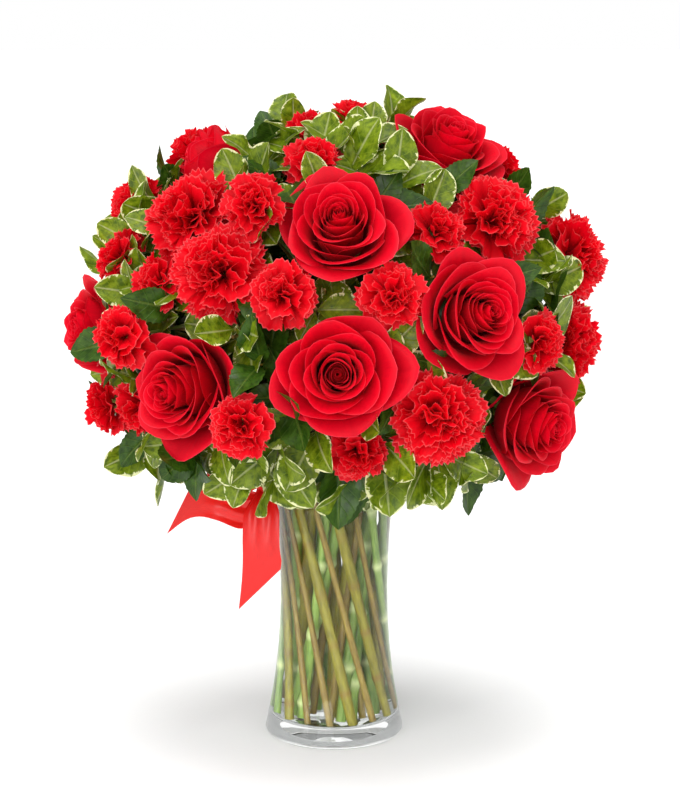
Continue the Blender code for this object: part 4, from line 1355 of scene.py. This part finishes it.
def make_tail(name, places, lean, slant, kept, finish, node):
    """A hanging end, cut at a slant, that keeps a share of its middle line."""
    knot, out = knot_place(), aim(KNOT_BEARING, 0)
    across = aim(KNOT_BEARING + 90, 0)
    first = knot + np.array((0, 0, -0.006))
    line = [first] + [knot + out * ahead + across * aside + (0, 0, down) for ahead, aside, down in places]
    middle = rounded(np.array(line), 0.003)
    middle = middle[: int(len(middle) * kept)]
    share = np.linspace(0, 1, len(middle))
    widths = TAIL_ROOT_WIDTH + (RIBBON_WIDTH / 2 - TAIL_ROOT_WIDTH) * rise(0, 0.30, share)
    side = widths[:, None] * unit(np.array(lean))
    share = share[:, None]
    pleat = np.sin(ACROSS * 8.5 + share * 2.0) * TAIL_PLEATS * (1 - rise(0.05, 0.8, share))
    grid = lifted(ribbon_grid(middle, side), pleat, faces_of(middle, side))
    grid = grid - (ACROSS * rise(0.6, 1.0, share) * slant)[..., None] * unit(middle[-1] - middle[-2])
    flat = (RIBBON_WIDTH, length_of(middle) + slant)
    make_ribbon_piece(name, grid, flat, "hung", ["ribbon_knot"], finish, node)


def make_ribbon(finish):
    make_band(finish)
    make_knot(finish)
    knot = knot_place()
    for name, way, hand in zip(("ribbon_loop_left", "ribbon_loop_back"), LOOP_WAYS, (1, -1)):
        make_loop(name, knot, aim(*way), hand, finish)
    make_tail("ribbon_end_left", TAIL_LEFT, TAIL_LEFT_LEAN, 0.007, 1.0, finish, "ribbon_tail_left")
    make_tail("ribbon_end_right", TAIL_RIGHT, TAIL_RIGHT_LEAN, 0.015, 0.88, finish, "ribbon_tail_right")


# ---------------------------------------------------------------- materials


PATTERN_STEP = (37.0, 53.0, 71.0)


class Finish:
    """A material under construction, with short ways to add the nodes that it needs."""

    def __init__(self, name):
        self.made = bpy.data.materials.new(name)
        self.made.use_nodes = True
        self.tree = self.made.node_tree
        self.shader = self.tree.nodes["Principled BSDF"]
        self.output = self.tree.nodes["Material Output"]

    def node(self, kind, **settings):
        made = self.tree.nodes.new(kind)
        for key, value in settings.items():
            setattr(made, key, value)
        return made

    def link(self, source, target):
        self.tree.links.new(source, target)

    def blade(self):
        """Where a point is on its own sheet, as separate sockets across and along it."""
        place = self.node("ShaderNodeUVMap", uv_map="blade")
        parts = self.node("ShaderNodeSeparateXYZ")
        self.link(place.outputs["UV"], parts.inputs[0])
        return place.outputs["UV"], parts.outputs["X"], parts.outputs["Y"]

    def attribute(self, name):
        return self.node("ShaderNodeAttribute", attribute_name=name).outputs["Fac"]

    def put(self, socket, value):
        """Gives a socket a number, a colour, or what another socket says."""
        if isinstance(value, tuple):
            socket.default_value = (*value, 1)
        elif isinstance(value, (int, float)):
            socket.default_value = value
        else:
            self.tree.links.new(value, socket)

    def stretched(self, vector, scale):
        mapping = self.node("ShaderNodeMapping")
        mapping.inputs["Scale"].default_value = scale
        self.link(vector, mapping.inputs["Vector"])
        return mapping.outputs["Vector"]

    def spread(self, vector, offset):
        """The vector moved by an attribute, so that no two sheets share a pattern."""
        add = self.node("ShaderNodeVectorMath", operation="ADD")
        times = self.node("ShaderNodeVectorMath", operation="SCALE")
        times.inputs[0].default_value = PATTERN_STEP
        self.link(offset, times.inputs["Scale"])
        self.link(vector, add.inputs[0])
        self.link(times.outputs[0], add.inputs[1])
        return add.outputs[0]

    def position(self):
        return self.node("ShaderNodeNewGeometry").outputs["Position"]

    def noise(self, vector, scale, detail=3.0, roughness=0.5):
        made = self.node("ShaderNodeTexNoise")
        made.inputs["Scale"].default_value = scale
        made.inputs["Detail"].default_value = detail
        made.inputs["Roughness"].default_value = roughness
        self.link(vector, made.inputs["Vector"])
        return made.outputs["Fac"]

    def ramp(self, value, *stops):
        """A ramp with (place, grey) stops."""
        made = self.node("ShaderNodeValToRGB")
        elements = made.color_ramp.elements
        while len(elements) < len(stops):
            elements.new(0.5)
        for element, (place, grey) in zip(elements, stops):
            element.position = place
            element.color = (grey, grey, grey, 1)
        self.link(value, made.inputs[0])
        return made.outputs["Color"]

    def sum(self, first, second, operation="ADD"):
        made = self.node("ShaderNodeMath", operation=operation)
        self.put(made.inputs[0], first)
        self.put(made.inputs[1], second)
        return made.outputs[0]

    def times(self, first, second):
        return self.sum(first, second, "MULTIPLY")

    def of(self, operation, value):
        """A function of one value, such as its sine."""
        return self.sum(value, 0.0, operation)

    def mix(self, factor, first, second, blend="MIX"):
        made = self.node("ShaderNodeMix", data_type="RGBA", blend_type=blend)
        for place, value in ((0, factor), (6, first), (7, second)):
            self.put(made.inputs[place], value)
        return made.outputs[2]

    def darkened(self, share, body, shade):
        return self.mix(share, body, shade, "MULTIPLY")

    def mixed_surface(self, share, shader):
        """The surface as a blend of the main shader and that share of another."""
        mixed = self.node("ShaderNodeMixShader")
        self.put(mixed.inputs[0], share)
        self.link(self.shader.outputs[0], mixed.inputs[1])
        self.link(shader.outputs[0], mixed.inputs[2])
        self.link(mixed.outputs[0], self.output.inputs["Surface"])

    def bump(self, height, strength, distance):
        made = self.node("ShaderNodeBump")
        made.inputs["Strength"].default_value = strength
        made.inputs["Distance"].default_value = distance
        self.link(height, made.inputs["Height"])
        self.link(made.outputs["Normal"], self.shader.inputs["Normal"])

    def set(self, **values):
        for key, value in values.items():
            self.put(self.shader.inputs[key.replace("_", " ")], value)

    def lets_light_through(self, share, colour):
        """Thin living tissue: part of the light comes through from behind."""
        clear = self.node("ShaderNodeBsdfTranslucent")
        self.put(clear.inputs["Color"], colour)
        self.mixed_surface(share, clear)


def petal_finish(name, deep, bright, rim, sheen, through):
    """Velvety red tissue with fine veins that fan along the petal, darker towards its foot deep in the
    flower as painted shade, and a slightly paler rim that is a painted highlight.
    """
    finish = Finish(name)
    place, _, along = finish.blade()
    tone = finish.attribute("tone")
    moved = finish.spread(place, tone)
    veins = finish.noise(finish.stretched(moved, (26.0, 1.6, 1.0)), 1.0, 4.0, 0.6)
    cloud = finish.noise(finish.spread(finish.position(), tone), 70.0, 2.0)
    # Painted shade: each petal goes from deep at its foot, down in the heart of the flower where shade
    # falls, to bright towards its rim.
    body = finish.mix(finish.ramp(along, (0.10, 0.0), (0.85, 1.0)), deep, bright)
    shade = finish.ramp(veins, (0.30, 0.72), (0.70, 1.0))
    body = finish.darkened(0.55, body, shade)
    body = finish.darkened(0.35, body, finish.ramp(cloud, (0.35, 0.70), (0.65, 1.0)))
    body = finish.darkened(0.40, body, finish.ramp(tone, (0.0, 0.72), (1.0, 1.0)))
    # Painted highlight: the petal pales to the rim colour along its very edge, where the edge would catch
    # the light.
    body = finish.mix(finish.ramp(along, (0.955, 0.0), (1.0, 0.45)), body, rim)
    finish.set(Base_Color=body, Roughness=finish.ramp(veins, (0.2, 0.48), (0.8, 0.66)))
    finish.set(Sheen_Weight=sheen, Sheen_Roughness=0.35, Sheen_Tint=(1.0, 0.25, 0.25))
    finish.set(Specular_IOR_Level=0.18)
    finish.bump(veins, 0.35, 0.0006)
    finish.lets_light_through(through, bright)
    return finish.made


VEIN_PAIRS = 13.0
VEIN_SLANT = 3.2


def leaf_finish(name, dark, light, margin, cream_from, gloss):
    """A leaf with a pale midrib and side veins. Where cream_from is under 1, its margin is ragged cream."""
    finish = Finish(name)
    place, across, along = finish.blade()
    tone = finish.attribute("tone")
    moved = finish.spread(place, tone)
    from_rib = finish.times(finish.of("ABSOLUTE", finish.sum(across, -0.5)), 2.0)
    cloud = finish.noise(finish.stretched(moved, (5.0, 7.0, 1.0)), 1.0, 3.0, 0.6)
    body = finish.mix(finish.ramp(cloud, (0.35, 0.0), (0.68, 1.0)), dark, light)
    body = finish.darkened(0.5, body, finish.ramp(tone, (0.0, 0.62), (1.0, 1.0)))
    slant = finish.sum(finish.times(along, VEIN_PAIRS), finish.times(from_rib, -VEIN_SLANT))
    stripe = finish.of("SINE", finish.times(slant, math.pi))
    vein = finish.ramp(stripe, (0.86, 0.0), (1.0, 1.0))
    rib = finish.ramp(from_rib, (0.03, 1.0), (0.09, 0.0))
    body = finish.mix(finish.times(vein, 0.35), body, light)
    body = finish.mix(finish.times(rib, 0.30), body, margin)
    if cream_from < 1:
        ragged = finish.noise(finish.stretched(moved, (3.0, 9.0, 1.0)), 1.0, 4.0, 0.7)
        near_end = finish.ramp(along, (0.80, 0.0), (1.0, 0.30))
        jagged = finish.times(finish.sum(ragged, -0.5), 1.3)
        edge = finish.sum(finish.sum(from_rib, jagged), near_end)
        cream = finish.ramp(edge, (cream_from, 0.0), (cream_from + 0.05, 1.0))
        body = finish.mix(cream, body, margin)
    finish.set(Base_Color=body, Roughness=finish.ramp(cloud, (0.2, gloss), (0.8, gloss + 0.14)))
    finish.set(Specular_IOR_Level=0.3)
    finish.bump(finish.sum(vein, finish.times(rib, 2.0)), 0.5, 0.0005)
    finish.lets_light_through(0.28, body)
    return finish.made


def stem_finish(name, dark, light, node_colour, streak):
    finish = Finish(name)
    place, _, _ = finish.blade()
    tone = finish.attribute("tone")
    moved = finish.spread(place, tone)
    lines = finish.noise(finish.stretched(moved, (9.0, streak, 1.0)), 1.0, 5.0, 0.65)
    cloud = finish.noise(finish.spread(finish.position(), tone), 45.0, 3.0)
    body = finish.mix(finish.ramp(lines, (0.35, 0.0), (0.66, 1.0)), dark, light)
    body = finish.mix(finish.ramp(cloud, (0.40, 0.0), (0.70, 0.55)), body, light)
    body = finish.darkened(0.5, body, finish.ramp(tone, (0.0, 0.65), (1.0, 1.0)))
    body = finish.mix(finish.ramp(finish.attribute("mark"), (0.1, 0.0), (0.9, 0.85)), body, node_colour)
    finish.set(Base_Color=body, Roughness=finish.ramp(lines, (0.3, 0.38), (0.7, 0.60)))
    finish.bump(lines, 0.4, 0.0004)
    return finish.made


def satin_finish():
    """Woven satin: fine threads across and along, with a soft directional gloss."""
    finish = Finish("ribbon_satin")
    place, _, _ = finish.blade()
    threads = finish.noise(finish.stretched(place, (260.0, 14.0, 1.0)), 1.0, 2.0)
    cloud = finish.noise(finish.position(), 60.0, 2.0)
    light = finish.ramp(threads, (0.30, 0.0), (0.70, 1.0))
    body = finish.mix(light, (0.64, 0.004, 0.004), (0.93, 0.014, 0.010))
    body = finish.darkened(0.25, body, finish.ramp(cloud, (0.35, 0.75), (0.65, 1.0)))
    finish.set(Base_Color=body, Roughness=finish.ramp(threads, (0.2, 0.26), (0.8, 0.40)))
    finish.set(Sheen_Weight=0.08, Sheen_Roughness=0.3, Sheen_Tint=(1.0, 0.5, 0.45))
    finish.set(Specular_IOR_Level=0.45)
    finish.bump(threads, 0.12, 0.0002)
    finish.lets_light_through(0.18, (0.95, 0.03, 0.02))
    return finish.made


def clear_finish(name, tint, ior, wave_scale, wave_depth):
    """Clear glass or water, with the faint unevenness of a pressed wall."""
    finish = Finish(name)
    wave = finish.noise(finish.stretched(finish.position(), (1.0, 1.0, 0.25)), wave_scale, 2.0)
    finish.set(Base_Color=tint, Transmission_Weight=1.0, IOR=ior, Specular_Tint=(0.2, 0.2, 0.2))
    finish.set(Roughness=finish.ramp(wave, (0.3, 0.0), (0.9, 0.02)))
    finish.bump(wave, 0.3, wave_depth)
    clear = finish.node("ShaderNodeBsdfTransparent")
    finish.put(clear.inputs["Color"], (0.97, 0.985, 0.98))
    finish.mixed_surface(finish.node("ShaderNodeLightPath").outputs["Is Shadow Ray"], clear)
    return finish.made


# ---------------------------------------------------------------- floor, light and camera


FLOOR_HALF = 30.0
WHITE = (1.0, 1.0, 1.0)
WORLD_LIGHT = 0.45
LENS = 97.8
SENSOR_WIDTH = 36
CAMERA_PLACE = (0.0043, -1.5, 0.51)
CAMERA_TILT = 10.04
STRIP_SIZE = (0.25, 1.4)


def add_object(name, data):
    made = bpy.data.objects.new(name, data)
    bpy.context.scene.collection.objects.link(made)
    return made


def add_floor():
    finish = Finish("floor_white")
    speck = finish.noise(finish.position(), 30.0, 2.0)
    finish.set(Base_Color=finish.ramp(speck, (0.3, 0.95), (0.7, 0.97)))
    finish.set(Roughness=0.75, Specular_IOR_Level=0.1, Emission_Color=WHITE, Emission_Strength=0.09)
    mesh = bpy.data.meshes.new("floor")
    corners = [(x * FLOOR_HALF, y * FLOOR_HALF, 0) for x, y in ((-1, -1), (1, -1), (1, 1), (-1, 1))]
    mesh.from_pydata(corners, [], [(0, 1, 2, 3)])
    mesh.materials.append(finish.made)
    add_object("floor", mesh)


def add_world():
    """White to the eye and through the glass, and a softer light to everything else."""
    world = bpy.data.worlds.new("studio")
    bpy.context.scene.world = world
    world.use_nodes = True
    tree = world.node_tree
    link = tree.links.new
    light, seen = tree.nodes["Background"], tree.nodes.new("ShaderNodeBackground")
    for shader, strength in ((light, WORLD_LIGHT), (seen, 1.0)):
        shader.inputs["Color"].default_value = (*WHITE, 1)
        shader.inputs["Strength"].default_value = strength
    path = tree.nodes.new("ShaderNodeLightPath")
    seen_by = tree.nodes.new("ShaderNodeMath")
    seen_by.operation = "MAXIMUM"
    link(path.outputs["Is Camera Ray"], seen_by.inputs[0])
    link(path.outputs["Is Transmission Ray"], seen_by.inputs[1])
    mixed = tree.nodes.new("ShaderNodeMixShader")
    for place, socket in enumerate((seen_by.outputs[0], light.outputs[0], seen.outputs[0])):
        link(socket, mixed.inputs[place])
    link(mixed.outputs[0], tree.nodes["World Output"].inputs["Surface"])


def add_strip(name, place, power):
    """A tall light beside the bunch, turned towards its middle."""
    lamp = bpy.data.lights.new(name, "AREA")
    lamp.shape = "RECTANGLE"
    lamp.size, lamp.size_y = STRIP_SIZE
    lamp.energy = power
    made = add_object(name, lamp)
    made.location = place
    made.rotation_euler = (Vector((0, 0, 0.28)) - Vector(place)).to_track_quat("-Z", "Y").to_euler()


def add_camera():
    lens = bpy.data.cameras.new("camera")
    lens.lens = LENS
    lens.sensor_width = SENSOR_WIDTH
    camera = add_object("camera", lens)
    camera.location = CAMERA_PLACE
    camera.rotation_euler = (math.radians(90 - CAMERA_TILT), 0, 0)
    bpy.context.scene.camera = camera


def add_sky(name, way, strength, spread):
    """Even light from one side of the studio, from a source that looks that many degrees across."""
    lamp = bpy.data.lights.new(name, "SUN")
    lamp.energy = strength
    lamp.angle = math.radians(spread)
    add_object(name, lamp).rotation_euler = (-Vector(way)).to_track_quat("-Z", "Y").to_euler()


def add_studio():
    add_floor()
    add_world()
    add_sky("key", (-0.15, -0.80, 1.0), 1.7, 80)
    add_sky("top", (0.0, -0.05, 1.0), 1.3, 32)
    add_sky("front", (-0.25, -1.0, 0.22), 1.1, 30)
    add_strip("strip_left", (-1.3, -1.2, 0.6), 4)
    add_strip("strip_right", (1.4, -0.9, 0.6), 3)
    bpy.context.scene.view_settings.view_transform = "Standard"
    add_camera()


# ---------------------------------------------------------------- the bunch


# Where the random draws of each kind of piece start.
FLOWER_SEED = 100
SPRAY_SEED = 200
SPRIG_SEED = 300
ROSE_LEAF_SEED = 400


def make_finishes():
    """The materials of everything that grows."""
    # Each petal finish: the painted shade colour at a petal's foot, its colour towards the rim, the painted
    # highlight of its rim, its sheen, and the share of light through it.
    rose = petal_finish("rose_petal", (0.22, 0.0, 0.004), (0.86, 0.0, 0.018), (1.0, 0.08, 0.13), 0.08, 0.22)
    carnation = petal_finish(
        "carnation_petal", (0.28, 0.0, 0.003), (0.92, 0.0, 0.012), (1.0, 0.24, 0.24), 0.05, 0.28
    )
    green = stem_finish("carnation_stem", (0.12, 0.25, 0.025), (0.36, 0.52, 0.11), (0.74, 0.82, 0.38), 22.0)
    wood = stem_finish("rose_stem", (0.16, 0.14, 0.010), (0.38, 0.33, 0.030), (0.24, 0.13, 0.02), 34.0)
    twig = stem_finish("twig", (0.17, 0.10, 0.015), (0.36, 0.26, 0.045), (0.22, 0.14, 0.03), 34.0)
    variegated = leaf_finish(
        "variegated_leaf", (0.070, 0.130, 0.002), (0.27, 0.37, 0.012), (0.82, 0.84, 0.46), 0.93, 0.32
    )
    dark = leaf_finish(
        "rose_leaf", (0.018, 0.055, 0.004), (0.060, 0.14, 0.010), (0.20, 0.30, 0.05), 1.0, 0.26
    )
    return rose, carnation, green, wood, twig, variegated, dark


def make_roses_and_carnations(blooms, mains, rose, carnation, green, wood):
    for number, bloom in enumerate(blooms):
        if bloom.kind == "mini":
            continue
        draw = np.random.default_rng(FLOWER_SEED + number)
        stalk = Sheets()
        if bloom.kind == "rose":
            make_rose(bloom, rose, number)
            add_stem(stalk, mains[bloom.name], draw, False)
            add_hip(stalk, bloom, draw, 1)
            stalk.piece(bloom.name + "_stalk", [wood, green], "woody_stem", bloom.name + "_stem")
        else:
            petals = Sheets()
            add_carnation(petals, bloom, CARNATION, draw)
            petals.piece(bloom.name + "_petals", [carnation], "carnation_red", bloom.name)
            add_stem(stalk, mains[bloom.name], draw, True)
            add_calyx(stalk, bloom, draw, 0)
            stalk.piece(bloom.name + "_stalk", [green], "green_stem", bloom.name + "_stem")


def make_sprays(routes, carnation, green):
    for number, (name, _) in enumerate(SPRAYS):
        draw = np.random.default_rng(SPRAY_SEED + number)
        petals, stalks = Sheets(), Sheets()
        for route in routes:
            if route.family == name:
                add_carnation(petals, route.flower, MINI, draw)
                add_stem(stalks, route, draw, True, slim=0.8)
                add_calyx(stalks, route.flower, draw, 0)
        petals.piece(name + "_petals", [carnation], "carnation_red", name)
        stalks.piece(name + "_stalks", [green], "green_stem", name)


def make_sprigs(routes, leaves, fillers, blooms, twig, variegated):
    for number, (name, _) in enumerate(SPRIGS):
        draw = np.random.default_rng(SPRIG_SEED + number)
        twigs = Sheets()
        for route in routes:
            if route.family == name:
                add_stem(twigs, route, draw, False, slim=0.6)
        grown = leaves[name] + grow_fillers(twigs, fillers, name, blooms, draw)
        twigs.piece(name + "_twigs", [twig], "woody_stem", name)
        make_leaves(name + "_leaves", grown, variegated, draw, False, name)


def make_rose_leaves(mains, fillers, blooms, wood, dark):
    for number, (name, *_) in enumerate(ROSES):
        draw = np.random.default_rng(ROSE_LEAF_SEED + number)
        twigs = Sheets()
        grown = rose_leaves(mains[name], blooms, draw) + grow_fillers(twigs, fillers, name, blooms, draw)
        if twigs.faces:
            twigs.piece(name + "_twigs", [wood], "woody_stem")
        make_leaves(name + "_leaves", grown, dark, draw, True)


def make_bunch():
    blooms = plan_blooms()
    routes = plan_routes(blooms)
    leaves = plan_leaves(routes, blooms)
    mains = {route.name: route for route in routes if not route.parent}
    rose, carnation, green, wood, twig, variegated, dark = make_finishes()
    make_roses_and_carnations(blooms, mains, rose, carnation, green, wood)
    make_sprays(routes, carnation, green)
    tips = filler_tips(blooms)
    most = [tip for number, tip in enumerate(tips) if number % 3]
    fillers = filler_routes(most, [mains[name] for name, _ in SPRIGS])
    dark_fillers = filler_routes(tips[::3], [mains[name] for name, *_ in ROSES])
    make_sprigs(routes, leaves, fillers, blooms, twig, variegated)
    make_rose_leaves(mains, dark_fillers, blooms, wood, dark)


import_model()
make_bunch()
make_vase(clear_finish("clear_glass", (0.985, 0.995, 0.99), 1.50, 18.0, 0.0004))
make_water(clear_finish("clear_water", (0.995, 1.0, 0.995), 1.33, 12.0, 0.0001))
make_ribbon(satin_finish())
add_studio()
